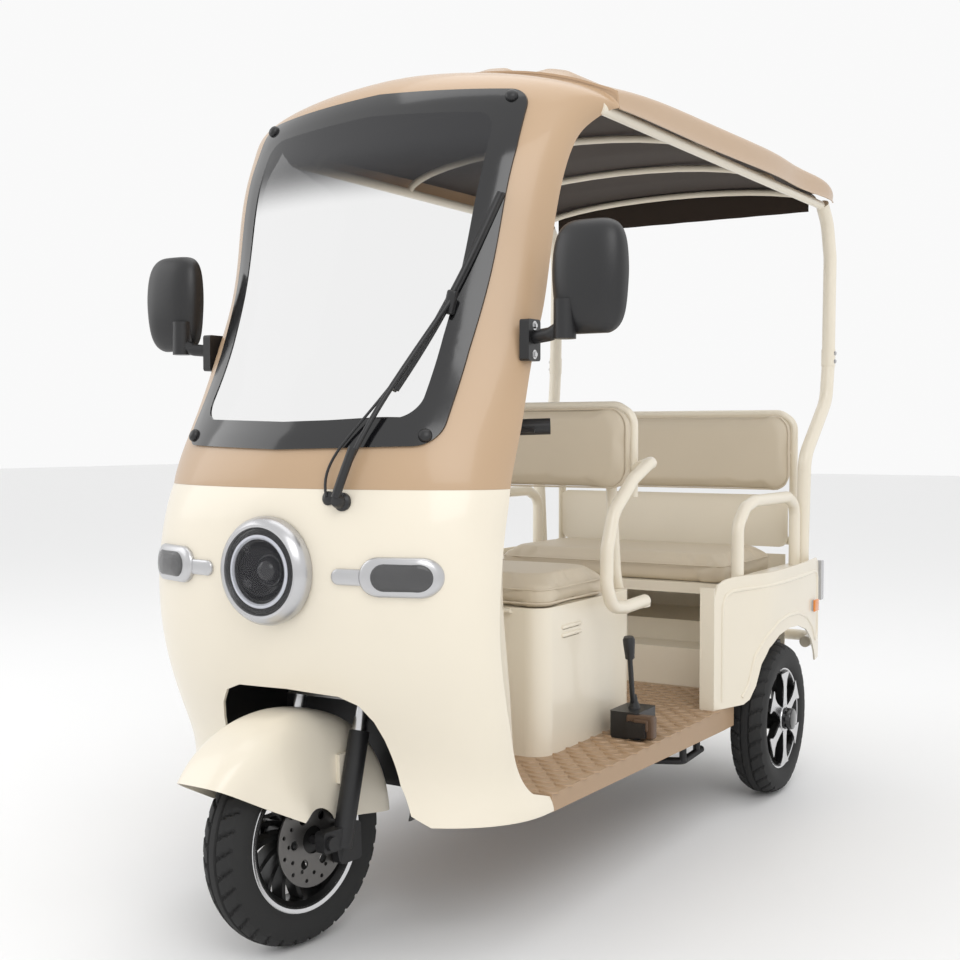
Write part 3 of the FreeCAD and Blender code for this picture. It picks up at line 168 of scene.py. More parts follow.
def finish_material(name, color, rough=0.4, metallic=0.0, amount=0.06, grain=600.0, bump=0.02, coat=0.0,
                    specular=0.5, sheen=0.0):
    """A Principled material whose colour, roughness and bump come from the tone and grain group."""
    material = bpy.data.materials.new(name)
    material.use_nodes = True
    tree = material.node_tree
    shader = tree.nodes["Principled BSDF"]
    place = tree.nodes.new("ShaderNodeTexCoord")
    group = tree.nodes.new("ShaderNodeGroup")
    group.node_tree = shared("tone", variation_group)
    tree.links.new(place.outputs["Object"], group.inputs["Vector"])
    group.inputs["Color"].default_value = (*color, 1.0)
    group.inputs["Amount"].default_value = amount
    group.inputs["Grain Scale"].default_value = grain
    group.inputs["Roughness"].default_value = rough
    tree.links.new(group.outputs["Color"], shader.inputs["Base Color"])
    tree.links.new(group.outputs["Roughness"], shader.inputs["Roughness"])
    relief = tree.nodes.new("ShaderNodeBump")
    relief.inputs["Strength"].default_value = bump
    relief.inputs["Distance"].default_value = 0.001
    tree.links.new(group.outputs["Height"], relief.inputs["Height"])
    tree.links.new(relief.outputs["Normal"], shader.inputs["Normal"])
    shader.inputs["Metallic"].default_value = metallic
    shader.inputs["Specular IOR Level"].default_value = specular
    shader.inputs["Coat Weight"].default_value = coat
    shader.inputs["Coat Roughness"].default_value = 0.08
    shader.inputs["Sheen Weight"].default_value = sheen
    return material


def glass_material(name, color, alpha=0.0):
    """A thin clear plastic: see-through by its alpha, with faint smears."""
    material = bpy.data.materials.new(name)
    material.use_nodes = True
    tree = material.node_tree
    shader = tree.nodes["Principled BSDF"]
    place = tree.nodes.new("ShaderNodeTexCoord")
    smear = noise_node(tree, place.outputs["Object"], 14.0, 3.0)
    rough = math_node(tree, "MULTIPLY", smear, 0.05)
    tree.links.new(rough, shader.inputs["Roughness"])
    shader.inputs["Base Color"].default_value = (*color, 1.0)
    shader.inputs["Alpha"].default_value = alpha
    return material


def screen_material():
    """Clear screen, smoked towards the top."""
    material = glass_material("clear screen", (0.02, 0.02, 0.022), 0.1)
    tree = material.node_tree
    shader = tree.nodes["Principled BSDF"]
    place = tree.nodes["Texture Coordinate"]
    split = tree.nodes.new("ShaderNodeSeparateXYZ")
    tree.links.new(place.outputs["Object"], split.inputs[0])
    ramp = tree.nodes.new("ShaderNodeMapRange")
    ramp.interpolation_type = "SMOOTHSTEP"
    for name, value in (("From Min", 1.43), ("From Max", 1.56), ("To Min", 0.05), ("To Max", 0.95)):
        ramp.inputs[name].default_value = value
    tree.links.new(split.outputs["Z"], ramp.inputs["Value"])
    tree.links.new(ramp.outputs["Result"], shader.inputs["Alpha"])
    return material


def ribbed_material():
    """Smoked lens with a fine square grid moulded in it."""
    material = finish_material("ribbed lens", (0.05, 0.05, 0.052), 0.2, coat=0.6)
    tree = material.node_tree
    place = tree.nodes["Texture Coordinate"]
    split = tree.nodes.new("ShaderNodeSeparateXYZ")
    tree.links.new(place.outputs["Object"], split.inputs[0])
    waves = []
    for axis in ("X", "Z"):
        scaled = math_node(tree, "MULTIPLY", split.outputs[axis], 2100.0)
        waves.append(math_node(tree, "ABSOLUTE", math_node(tree, "SINE", scaled)))
    height = math_node(tree, "MULTIPLY", waves[0], waves[1])
    relief = tree.nodes["Bump"]
    relief.inputs["Strength"].default_value = 0.6
    tree.links.new(height, relief.inputs["Height"])
    return material


MATERIALS = {}


def material(name):
    return MATERIALS[name]


class TRIKE_OT_materials(bpy.types.Operator):
    """Make every paint, plastic, cloth, rubber and metal of the tricycle"""
    bl_idname = "trike.materials"
    bl_label = "Make materials"

    def execute(self, context):
        look = context.scene.trike_finish
        make = finish_material
        MATERIALS.update({
            "cream": make("cream paint", look.cream, 0.34, coat=0.35),
            "tan": make("tan paint", look.tan, 0.36, coat=0.3),
            "floor": make("floor tan", look.floor_tan, 0.45, bump=0.1),
            "black_plastic": make("black plastic", (0.014, 0.014, 0.015), 0.38, bump=0.15),
            "black_gloss": make("black gloss", (0.006, 0.006, 0.007), 0.12, coat=0.5),
            "black_steel": make("black steel", (0.016, 0.016, 0.017), 0.45, metallic=0.2),
            "bright": make("bright steel", (0.62, 0.62, 0.63), 0.2, metallic=1.0),
            "disc_steel": make("disc steel", (0.16, 0.155, 0.15), 0.35, metallic=0.9),
            "brown_plastic": make("brown plastic", (0.10, 0.055, 0.03), 0.45, bump=0.2),
            "amber": make("amber lens", (0.75, 0.22, 0.01), 0.2, coat=0.6),
            "silver": make("silver bezel", (0.55, 0.55, 0.56), 0.28, metallic=0.9),
            "rubber": make("tyre rubber", (0.012, 0.012, 0.012), 0.72, bump=0.3),
            "alloy": make("black alloy", (0.02, 0.02, 0.02), 0.3, metallic=0.6),
            "vinyl": make("seat vinyl", look.seat, 0.48, grain=700.0, bump=0.25),
            "lining": make("roof lining", look.lining, 0.9, grain=900.0, bump=0.5, sheen=0.05),
            "lens": make("tail lens", (0.42, 0.42, 0.43), 0.15, coat=0.6),
        })
        MATERIALS["glass"] = screen_material()
        MATERIALS["lens_clear"] = glass_material("clear lens", (0.03, 0.03, 0.035), 0.22)
        MATERIALS["light_ring"] = make("light ring", (0.85, 0.87, 0.95), 0.2, amount=0.02)
        MATERIALS["bowl"] = make("lamp bowl", (0.03, 0.03, 0.032), 0.12, metallic=0.7)
        MATERIALS["projector"] = make("projector lens", (0.05, 0.05, 0.055), 0.05, coat=1.0)
        MATERIALS["signal_lens"] = ribbed_material()
        return {"FINISHED"}


NODE_FINISH = {
    "cream": ("front_shell", "driver_seat_box", "passenger_tub", "rear_panel", "side_panel_left",
              "side_panel_right", "front_fender", "rear_posts", "roof_frame", "driver_seat_frame",
              "bench_back_frame", "armrests", "rear_bumper", "dash_panel"),
    "tan": ("windshield_frame", "roof_panel"),
    "floor": ("floor_pan", "floor_skirts"),
    "black_plastic": ("shell_liner", "wiper", "mirror_left", "mirror_right", "parking_brake", "handlebar",
                      "battery_pack"),
    "black_gloss": ("windshield_border",),
    "black_steel": ("chassis_frame", "rear_subframe", "head_frame", "under_brace", "rear_axle",
                    "leaf_springs", "fork_sliders", "brake_caliper"),
    "bright": ("fork",),
    "disc_steel": ("brake_disc",),
    "silver": ("headlight", "turn_signals"),
    "rubber": ("front_tyre", "rear_tyre_left", "rear_tyre_right"),
    "alloy": ("front_rim", "rear_rim_left", "rear_rim_right"),
    "vinyl": ("driver_cushion", "driver_backrest", "bench_cushion", "bench_backrest"),
    "lining": ("roof_liner",),
    "glass": ("windshield_glass",),
    "lens": ("tail_lamps",),
}


class TRIKE_OT_frame_finish(bpy.types.Operator):
    """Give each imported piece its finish"""
    bl_idname = "trike.frame_finish"
    bl_label = "Finish packed pieces"

    def execute(self, context):
        for finish, nodes in NODE_FINISH.items():
            for name in nodes:
                mesh = frame["nodes"][name].data
                mesh.materials.clear()
                mesh.materials.append(material(finish))
        return {"FINISHED"}


# ---- modelling helpers --------------------------------------------------------------------------

MIDDLE = 858.5          # the frame's y = 0 is this far behind the front axle


def at(x, y, z):
    """Millimetres, with y from the front axle, to the frame's metres."""
    return Vector((x / 1000, (y - MIDDLE) / 1000, z / 1000))


def fresh():
    """Leave edit mode and deselect everything."""
    if bpy.context.object and bpy.context.object.mode != "OBJECT":
        bpy.ops.object.mode_set(mode="OBJECT")
    bpy.ops.object.select_all(action="DESELECT")


def pick(obj):
    fresh()
    obj.select_set(True)
    bpy.context.view_layer.objects.active = obj


def mesh_object(name, points, faces=(), edges=()):
    mesh = bpy.data.meshes.new(name)
    mesh.from_pydata([tuple(p) for p in points], edges, faces)
    mesh.update()
    obj = bpy.data.objects.new(name, mesh)
    bpy.context.scene.collection.objects.link(obj)
    return obj


def tidy_mesh(obj, merge=0.00002):
    """Merge doubles and turn the faces outwards."""
    pick(obj)
    bpy.ops.object.mode_set(mode="EDIT")
    bpy.ops.mesh.select_all(action="SELECT")
    bpy.ops.mesh.remove_doubles(threshold=merge)
    bpy.ops.mesh.normals_make_consistent(inside=False)
    bpy.ops.object.mode_set(mode="OBJECT")


def finish_piece(obj, finish, body="body", angle=40.0):
    """Apply place and turn, shade, give a finish and put the piece on its body."""
    pick(obj)
    bpy.ops.object.transform_apply(location=True, rotation=True, scale=True)
    bpy.ops.object.shade_smooth_by_angle(angle=math.radians(angle))
    obj.data.materials.clear()
    obj.data.materials.append(material(finish))
    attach(obj, body)
    return obj


def joined(name, parts):
    pick(parts[0])
    for part in parts:
        part.select_set(True)
    if len(parts) > 1:
        bpy.ops.object.join()
    obj = bpy.context.object
    obj.name = name
    return obj


def modifier(obj, kind, **settings):
    """Add a modifier with its settings and apply it."""
    pick(obj)
    mod = obj.modifiers.new(kind.lower(), kind)
    for key, value in settings.items():
        setattr(mod, key, value)
    bpy.ops.object.modifier_apply(modifier=mod.name)


def tube(points, radius, smooth=True, cyclic=False, sides=4):
    """A bar of round section along points in metres."""
    curve = bpy.data.curves.new("tube", "CURVE")
    curve.dimensions = "3D"
    curve.bevel_depth = radius
    curve.bevel_resolution = sides
    curve.use_fill_caps = True
    curve.resolution_u = 6
    spline = curve.splines.new("NURBS" if smooth else "POLY")
    spline.points.add(len(points) - 1)
    for target, point in zip(spline.points, points):
        target.co = (*point, 1.0)
    if smooth:
        spline.order_u = min(4, len(points))
        spline.use_endpoint_u = not cyclic
    spline.use_cyclic_u = cyclic
    obj = bpy.data.objects.new("tube", curve)
    bpy.context.scene.collection.objects.link(obj)
    pick(obj)
    bpy.ops.object.convert(target="MESH")
    return bpy.context.object


def lathe(profile, centre, axis, steps=64, angle=360.0):
    """Spin (radius, along) points about an axis through centre. The profile is in millimetres."""
    points = [Vector((r / 1000, 0, a / 1000)) for r, a in profile]
    obj = mesh_object("lathe", points, edges=[(i, i + 1) for i in range(len(points) - 1)])
    pick(obj)
    bpy.ops.object.mode_set(mode="EDIT")
    bpy.ops.mesh.select_all(action="SELECT")
    bpy.ops.mesh.spin(steps=steps, angle=math.radians(angle), center=(0, 0, 0), axis=(0, 0, 1))
    bpy.ops.mesh.select_all(action="SELECT")
    bpy.ops.mesh.remove_doubles(threshold=0.00001)
    bpy.ops.mesh.normals_make_consistent(inside=False)
    bpy.ops.object.mode_set(mode="OBJECT")
    turn = Vector((0, 0, 1)).rotation_difference(Vector(axis).normalized()).to_matrix().to_4x4()
    obj.data.transform(Matrix.Translation(centre) @ turn)
    return obj


def rounded(size, centre, radius, segments=3, turn=None):
    """A box with rounded edges. Sizes are in millimetres, centre in metres."""
    fresh()
    bpy.ops.mesh.primitive_cube_add(size=1.0)
    obj = bpy.context.object
    obj.data.transform(Matrix.Diagonal((*[v / 1000 for v in size], 1.0)))
    modifier(obj, "BEVEL", width=radius / 1000, segments=segments, limit_method="NONE")
    place = Matrix.Translation(centre)
    if turn is not None:
        place = place @ turn
    obj.data.transform(place)
    return obj


def bolt(centre, axis, radius=6.0, height=4.0):
    """A domed hexagon bolt head on its washer."""
    washer = lathe([(0, 0), (radius * 1.6, 0), (radius * 1.6, 1.0), (0, 1.0)], centre, axis, 24)
    head = lathe([(0, 1.0), (radius, 1.0), (radius, height), (radius * 0.8, height + 0.8), (0, height + 0.8)],
                 centre, axis, 6)
    return joined("bolt", [washer, head])


def grid_object(name, rows, closed=False):
    """A sheet through rows of points."""
    wide = len(rows[0])
    points = [p for row in rows for p in row]
    faces = []
    for i in range(len(rows) - 1 + closed):
        for j in range(wide - 1):
            a = (i % len(rows)) * wide + j
            b = ((i + 1) % len(rows)) * wide + j
            faces.append((a, a + 1, b + 1, b))
    return mesh_object(name, points, faces)


def mirrored(obj):
    """A copy on the vehicle's other side."""
    twin = obj.copy()
    twin.data = obj.data.copy()
    bpy.context.scene.collection.objects.link(twin)
    twin.data.transform(Matrix.Diagonal((-1, 1, 1, 1)))
    twin.data.flip_normals()
    return twin


def outline_arc(half_x, half_z, corner, count=8):
    """Points of a rounded rectangle round (0, 0)."""
    points = []
    for quarter, (sx, sz) in enumerate(((1, 1), (-1, 1), (-1, -1), (1, -1))):
        for k in range(count + 1):
            turn = math.radians(90 * quarter + 90 * k / count)
            points.append((sx * (half_x - corner) + corner * math.cos(turn),
                           sz * (half_z - corner) + corner * math.sin(turn)))
    return points


class TRIKE_OT_headlight(bpy.types.Operator):
    """Make the round headlight: bezel, dark ring, light ring, bowl and projector"""
    bl_idname = "trike.headlight"
    bl_label = "Make headlight"

    def execute(self, context):
        centre, ahead = at(0, -74, 722), (0, -1, 0)
        bezel = lathe([(80, 2), (101, 2), (102, 10), (100, 20), (94, 30), (87, 35), (82, 34), (80, 28),
                       (80, 2)], centre, ahead, 96)
        finish_piece(joined("headlight_bezel", [bezel]), "silver")
        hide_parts("headlight")
        ring = lathe([(55, 20), (81, 24), (81, 29), (74, 32), (68, 31), (60, 29), (55, 26), (55, 20)],
                     centre, ahead, 96)
        finish_piece(joined("headlight_ring", [ring]), "black_gloss")
        glow = lathe([(60, 28), (60, 31.5), (62, 33.2), (66, 33.4), (68, 32), (68, 28), (60, 28)],
                     centre, ahead, 96)
        finish_piece(joined("headlight_light_ring", [glow]), "light_ring")
        bowl = lathe([(0, 0), (30, 1), (48, 10), (56, 24), (57, 28), (59, 28), (58, 0), (0, -3), (0, 0)],
                     centre, ahead, 64)
        finish_piece(joined("headlight_bowl", [bowl]), "bowl")
        eye = lathe([(0, 24), (10, 23), (19, 18), (25, 9), (27, 2), (30, 2), (30, -1), (0, -1), (0, 24)],
                    centre, ahead, 48)
        finish_piece(joined("headlight_projector", [eye]), "projector")
        lens = lathe([(0, 44), (20, 43), (40, 40), (58, 36), (76, 31.5), (78, 30), (76, 30), (58, 34.5),
                      (40, 38.5), (20, 41.5), (0, 42.5), (0, 44)], centre, ahead, 64)
        finish_piece(joined("headlight_lens", [lens]), "lens_clear")
        return {"FINISHED"}


def shell_depth(x, z):
    """y of the front shell's outside, in millimetres from the front axle."""
    shell = frame["nodes"]["front_shell"]
    hit, where, _, _ = shell.ray_cast(at(x, -400, z), Vector((0, 1, 0)))
    if not hit:
        raise RuntimeError(f"no shell at {x}, {z}")
    return where.y * 1000 + MIDDLE


LENS_ROOT = 4.0         # how far an indicator's edge reaches into the shell


class TRIKE_OT_signals(bpy.types.Operator):
    """Make the oval front indicators with their tabs and ribbed lenses"""
    bl_idname = "trike.signals"
    bl_label = "Make front indicators"

    def execute(self, context):
        z0 = 720.0

        def lay(name, outline, lift, thick):
            centre_x = sum(p[0] for p in outline) / len(outline)
            rings = [[at(x, shell_depth(x, z) + LENS_ROOT, z) for x, z in outline]]
            for share, push in ((1.0, 0.35), (0.97, 0.75), (0.9, 0.98), (0.7, 1.05), (0.35, 1.12)):
                ring = []
                for x, z in outline:
                    px, pz = centre_x + (x - centre_x) * share, z0 + (z - z0) * share
                    ring.append(at(px, shell_depth(px, pz) - (lift + thick) * push, pz))
                rings.append(ring)
            loops = [ring + ring[:1] for ring in rings]
            obj = grid_object(name, loops)
            tidy_mesh(obj)
            pick(obj)
            bpy.ops.object.mode_set(mode="EDIT")
            bpy.ops.mesh.select_all(action="SELECT")
            bpy.ops.mesh.fill_holes(sides=0)
            bpy.ops.mesh.normals_make_consistent(inside=False)
            bpy.ops.object.mode_set(mode="OBJECT")
            return obj
        body = [(270 + x, z0 + z) for x, z in outline_arc(72, 36, 35.5, 10)]
        tab = [(178 + x, z0 - 2 + z) for x, z in outline_arc(36, 15, 14.5, 8)]
        inner = [(277 + x, z0 + z) for x, z in outline_arc(56, 26, 25.5, 10)]
        left = joined("indicator_bezel_left", [lay("signal", body, 2, 10), lay("tab", tab, 1, 6)])
        right = mirrored(left)
        right.name = "indicator_bezel_right"
        for piece in (left, right):
            finish_piece(piece, "silver", angle=60)
        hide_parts("turn_signals")
        lens = lay("indicator_lens_left", inner, 6, 9)
        other = mirrored(lens)
        other.name = "indicator_lens_right"
        for piece in (lens, other):
            finish_piece(piece, "signal_lens", angle=60)
        return {"FINISHED"}


class TRIKE_OT_screen(bpy.types.Operator):
    """Make the screen's four knobs"""
    bl_idname = "trike.screen"
    bl_label = "Make screen fittings"

    def execute(self, context):
        knobs = []
        border = frame["nodes"]["windshield_border"]
        for x, z in ((300.0, 1639.0), (279.0, 972.0)):
            for side in (-1, 1):
                hit, where, normal, _ = border.ray_cast(at(side * x, -600, z), Vector((0, 1, 0)))
                if not hit:
                    raise RuntimeError("no screen border behind a knob")
                knobs.append(lathe([(0, 0), (13, 0), (13, 3), (11, 7), (7, 9.5), (0, 10.5)], where,
                                   normal, 24))
        finish_piece(joined("screen_knobs", knobs), "black_plastic")
        return {"FINISHED"}


class TRIKE_OT_wiper(bpy.types.Operator):
    """Make the wiper: pivot, sprung arm, thin guide rod, carrier and blade"""
    bl_idname = "trike.wiper"
    bl_label = "Make wiper"

    def execute(self, context):
        def skin(x, z, off):
            for node in ("windshield_glass", "windshield_border", "windshield_frame", "front_shell"):
                obj = frame["nodes"][node]
                hit, where, _, _ = obj.ray_cast(at(x, -700, z), Vector((0, 1, 0)))
                if hit:
                    return where + Vector((0, -1, 0.35)) * off / 1000
            raise RuntimeError(f"nothing behind the wiper at {x}, {z}")
        pivot = skin(155, 852, 0)
        parts = [lathe([(0, 0), (17, 0), (17, 6), (12, 10), (12, 20), (9, 26), (0, 27)], pivot,
                       (0, -1, 0.1), 32),
                 lathe([(0, 0), (13, 0), (13, 5), (8, 9), (0, 10)], skin(126, 858, 0), (0, -1, 0.1), 24)]
        arm = [skin(155, 852, 24), skin(166, 900, 26), skin(196, 1010, 28), skin(238, 1130, 26),
               skin(268, 1216, 20)]
        heel = tube([skin(155, 852, 24), skin(164, 890, 27), skin(176, 940, 28)], 0.0085)
        rod_points = [skin(126, 858, 10), skin(112, 900, 12), skin(150, 960, 16), skin(214, 1068, 18),
                      skin(256, 1186, 16)]
        parts += [heel, tube(arm, 0.0052), tube(rod_points, 0.0026)]
        blade = [skin(206, 1052, 9), skin(232, 1130, 9), skin(262, 1228, 9), skin(292, 1330, 9),
                 skin(322, 1432, 9)]
        parts += [tube(blade, 0.0062), tube([p + Vector((0.004, 0.006, 0)) for p in blade], 0.0035)]
        parts.append(rounded((20, 16, 46), skin(268, 1216, 16), 5, 3, Matrix.Rotation(0.25, 4, "Y")))
        wiper = joined("wiper_set", parts)
        finish_piece(wiper, "black_plastic")
        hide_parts("wiper")
        return {"FINISHED"}


def roof_height(x, y):
    """Outside of the roof skin, in millimetres."""
    sections = ((461.3, 1749.0, 452.0, 1664.0), (700.0, 1750.0, 462.0, 1684.0),
                (1050.0, 1751.0, 470.0, 1695.0), (1450.0, 1750.0, 476.0, 1704.0),
                (1780.0, 1744.0, 478.0, 1705.0), (1880.0, 1734.0, 476.0, 1696.0),
                (1925.0, 1716.0, 468.0, 1686.0))
    for (y0, *a), (y1, *b) in zip(sections, sections[1:]):
        if y <= y1:
            share = (y - y0) / (y1 - y0)
            crown, crease_x, crease_z = (p + (q - p) * share for p, q in zip(a, b))
            return crown - (crown - crease_z) * min(abs(x) / crease_x, 1.0) ** 2.6
    return sections[-1][1]


RIB_CENTRES = (-300, -150, 0, 150, 300)
ROOF_FRONT, ROOF_REAR = 468, 1880


class TRIKE_OT_roof(bpy.types.Operator):
    """Make the pressed ribs along the roof and the bead along its front edge"""
    bl_idname = "trike.roof"
    bl_label = "Make roof ribs"

    def execute(self, context):
        ribs = []
        for centre in RIB_CENTRES:
            rows = []
            for i in range(41):
                along = i / 40
                y = ROOF_FRONT + (ROOF_REAR - ROOF_FRONT) * along
                ramp = min(1.0, min(along, 1 - along) / 0.02)
                row = []
                for j in range(17):
                    across = -1 + 2 * j / 16
                    x = centre + 46 * across
                    lift = 17.0 * (1 - abs(across) ** 4) ** 0.7 * (ramp ** 0.5 if ramp > 0 else 0)
                    row.append(at(x, y, roof_height(x, y) + lift - 1.0))
                rows.append(row)
            ribs.append(grid_object("rib", rows))
        ribs = joined("roof_ribs", ribs)
        modifier(ribs, "SOLIDIFY", thickness=0.003, offset=-1)
        tidy_mesh(ribs)
        finish_piece(ribs, "tan", angle=50)
        low_row, top_row = [], []
        for k in range(-40, 41):
            x = 11.4 * k
            frame_top = 1745.0 - 115.0 * (1 - (1 - min(abs(x) / 460.0, 1.0) ** 1.75) ** (1 / 1.75))
            top_row.append(at(x, 463.5, roof_height(x, 463) - 1.0))
            low_row.append(at(x, 463.5, min(frame_top, roof_height(x, 463)) - 9.0))
        lip = grid_object("roof_front_lip", [low_row, top_row])
        modifier(lip, "SOLIDIFY", thickness=0.002, offset=0)
        tidy_mesh(lip)
        finish_piece(lip, "tan", angle=50)
        return {"FINISHED"}


SCALE_PITCH_X, SCALE_PITCH_Y = 50.0, 31.0
SCALE_ARC = 8           # sides of a scale's half circle
FLOOR_ROWS = (285.0, 1410.0)
FLOOR_NARROWS = 1250.0  # behind this the floor runs between the side panels
FLOOR_HALF, FLOOR_HALF_REAR = 400, 355


class TRIKE_OT_floor(bpy.types.Operator):
    """Make the raised scales of the floor"""
    bl_idname = "trike.floor"
    bl_label = "Make floor scales"

    def execute(self, context):
        points, faces = [], []
        ring = SCALE_ARC
        row = 0
        y, last = FLOOR_ROWS
        while y < last:
            half = FLOOR_HALF if y < FLOOR_NARROWS else FLOOR_HALF_REAR
            x = -half + (SCALE_PITCH_X / 2 if row % 2 else 0)
            while x <= half:
                inside_box = abs(x) < 275 and 480 < y < 985
                if not inside_box:
                    base = len(points)
                    points.append(at(x, y, 280.1))
                    for k in range(ring + 1):
                        turn = math.pi * k / ring
                        px, py = x + 22.0 * math.cos(turn), y - 20.0 * math.sin(turn)
                        points.append(at(px, py, 280.1 + 3.8 * math.sin(turn) ** 0.6))
                    for k in range(ring + 1):
                        turn = math.pi * k / ring
                        px, py = x + 23.5 * math.cos(turn), y - 22.0 * math.sin(turn)
                        points.append(at(px, py, 279.9))
                    for k in range(ring):
                        faces.append((base, base + 1 + k, base + 2 + k))
                        a, b = base + 1 + k, base + 2 + ring + k
                        faces.append((a, b, b + 1, a + 1))
                x += SCALE_PITCH_X
            y += SCALE_PITCH_Y
            row += 1
        scales = mesh_object("floor_scales", points, faces)
        pick(scales)
        bpy.ops.object.mode_set(mode="EDIT")
        bpy.ops.mesh.select_all(action="SELECT")
        bpy.ops.mesh.normals_make_consistent(inside=False)
        bpy.ops.object.mode_set(mode="OBJECT")
        modifier(scales, "SOLIDIFY", thickness=0.0006, offset=-1)
        finish_piece(scales, "floor", angle=25)
        return {"FINISHED"}


# ---- wheels ---------------------------------------------------------------------------------------

def wheel_place(joint_name):
    """Centre and axis of a wheel, from its joint."""
    for joint in frame["joints"]:
        if joint["name"] == joint_name:
            return Vector(joint["pos_m"]), Vector(joint["axis"]).normalized()
    raise RuntimeError(joint_name)


def tread_tyre(name, width, blocks, front):
    """A tyre with its axis along X, its grooves pressed into the outline ring by ring."""
    half = width / 2
    outline = [(half - 14, 128.4), (half - 5, 140), (half - 1.5, 150), (half, 166), (half - 1.0, 176),
               (half - 4, 186)]
    crown = []
    for k in range(25):
        share = 1 - 2 * k / 24
        x = share * (half - 5)
        r = 204 - 13.5 * abs(share) ** 2.2
        crown.append((x, r))
    profile = outline + crown + [(-x, r) for x, r in reversed(outline)]
    inner = [(-(half - 14), 124.5), (half - 14, 124.5)]
    steps = blocks * 10
    rows = []
    for i in range(steps):
        turn = 2 * math.pi * i / steps
        row = []
        for x, r in profile:
            share = x / half
            if abs(share) < 0.93 and r > 187:
                phase = (i / 10 + (abs(share) * (0.9 if front else 0.6)) + (0.5 if share > 0 else 0)) % 1.0
                cross = phase < 0.2 and abs(share) > 0.22
                rib = abs(abs(share) - 0.2) < 0.045
                if cross or rib:
                    r -= 5.0
            row.append(Vector((x / 1000, -math.sin(turn) * r / 1000, math.cos(turn) * r / 1000)))
        for x, r in inner:
            row.append(Vector((x / 1000, -math.sin(turn) * r / 1000, math.cos(turn) * r / 1000)))
        row.append(row[0].copy())
        rows.append(row)
    rows.append([p.copy() for p in rows[0]])
    obj = grid_object(name, rows)
    tidy_mesh(obj)
    return obj


def put_wheel(obj, joint_name):
    """Turn a piece made about X at the origin to its wheel's axis and place."""
    centre, axis = wheel_place(joint_name)
    turn = Vector((1, 0, 0)).rotation_difference(axis).to_matrix().to_4x4()
    obj.data.transform(Matrix.Translation(centre) @ turn)
    return obj


WHEELS = (("front", "front_wheel_spin", "front_wheel", "front_tyre", 86.0, 34),
          ("rear_left", "rear_left_spin", "rear_wheel_left", "rear_tyre_left", 92.0, 30),
          ("rear_right", "rear_right_spin", "rear_wheel_right", "rear_tyre_right", 92.0, 30))


STAR_ARM = ((32, 17), (56, 13), (84, 12), (104, 17), (118, 30), (124, 31))      # radius, half width


class TRIKE_OT_tyres(bpy.types.Operator):
    """Make the three treaded tyres"""
    bl_idname = "trike.tyres"
    bl_label = "Make tyres"

    def execute(self, context):
        for label, joint, body, node, width, blocks in WHEELS:
            obj = put_wheel(tread_tyre(f"{label}_treaded_tyre", width, blocks, label == "front"), joint)
            finish_piece(obj, "rubber", body, 35)
            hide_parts(node)
        return {"FINISHED"}


class TRIKE_OT_rims(bpy.types.Operator):
    """Make the bright lips, and on the rear wheels the star faces, caps and cap rings"""
    bl_idname = "trike.rims"
    bl_label = "Make rim trim"

    def execute(self, context):
        for label, joint, body, _, _, _ in WHEELS:
            lips = []
            for side in (1, -1):
                lips.append(lathe([(128, 34), (139.2, 35.2), (140, 37.2), (138, 38.4), (134, 36.6),
                                   (127, 35.2), (128, 34)], Vector((0, 0, 0)), (side, 0, 0), 96))
            lip = put_wheel(joined(f"{label}_rim_lip", lips), joint)
            finish_piece(lip, "bright", body, 50)
            if label != "front":
                out = 1 if label == "rear_left" else -1
                arms = []
                for k in range(6):
                    turn = Matrix.Rotation(math.radians(60 * k), 4, "X")
                    outline = STAR_ARM
                    ring = [Vector((0, w / 1000, r / 1000)) for r, w in outline]
                    ring += [Vector((0, -w / 1000, r / 1000)) for r, w in reversed(outline)]
                    face = mesh_object("arm", ring, [tuple(range(len(ring)))])
                    modifier(face, "SOLIDIFY", thickness=0.003, offset=0)
                    face.data.transform(turn)
                    arms.append(face)
                star = joined(f"{label}_rim_star", arms)
                star.data.transform(Matrix.Translation((out * 0.0435, 0, 0)))
                put_wheel(star, joint)
                tidy_mesh(star)
                finish_piece(star, "bright", body, 30)
                cap = lathe([(0, 70.5), (18, 70), (26, 68.4), (28.5, 64), (28.5, 46), (34, 44), (34, 42),
                             (0, 42)],
                            Vector((0, 0, 0)), (out, 0, 0), 48)
                put_wheel(joined(f"{label}_hub_cap", [cap]), joint)
                finish_piece(bpy.data.objects[f"{label}_hub_cap"], "black_gloss", body, 40)
                hub_ring = lathe([(30, 47), (37, 47), (38, 45), (37, 43), (30, 43), (30, 47)],
                                 Vector((0, 0, 0)), (out, 0, 0), 48)
                put_wheel(joined(f"{label}_hub_ring", [hub_ring]), joint)
                finish_piece(bpy.data.objects[f"{label}_hub_ring"], "bright", body, 40)
        return {"FINISHED"}


# ---- padded seats ---------------------------------------------------------------------------------

CLOTH_FRAMES = 20
CUSHION_REST = 601.3    # the lid's underside lies on the seat box here
PAD_INSET = 0.004
PAD_VOXEL, PAD_VOXEL_QUICK = 0.006, 0.008
PIPING_RADIUS = 0.0022

def limit_move(obj, starts, cap):
    """Hold every point within a cap of where it began."""
    for vertex, start in zip(obj.data.vertices, starts):
        move = vertex.co - start
        if move.length > cap:
            vertex.co = start + move.normalized() * cap


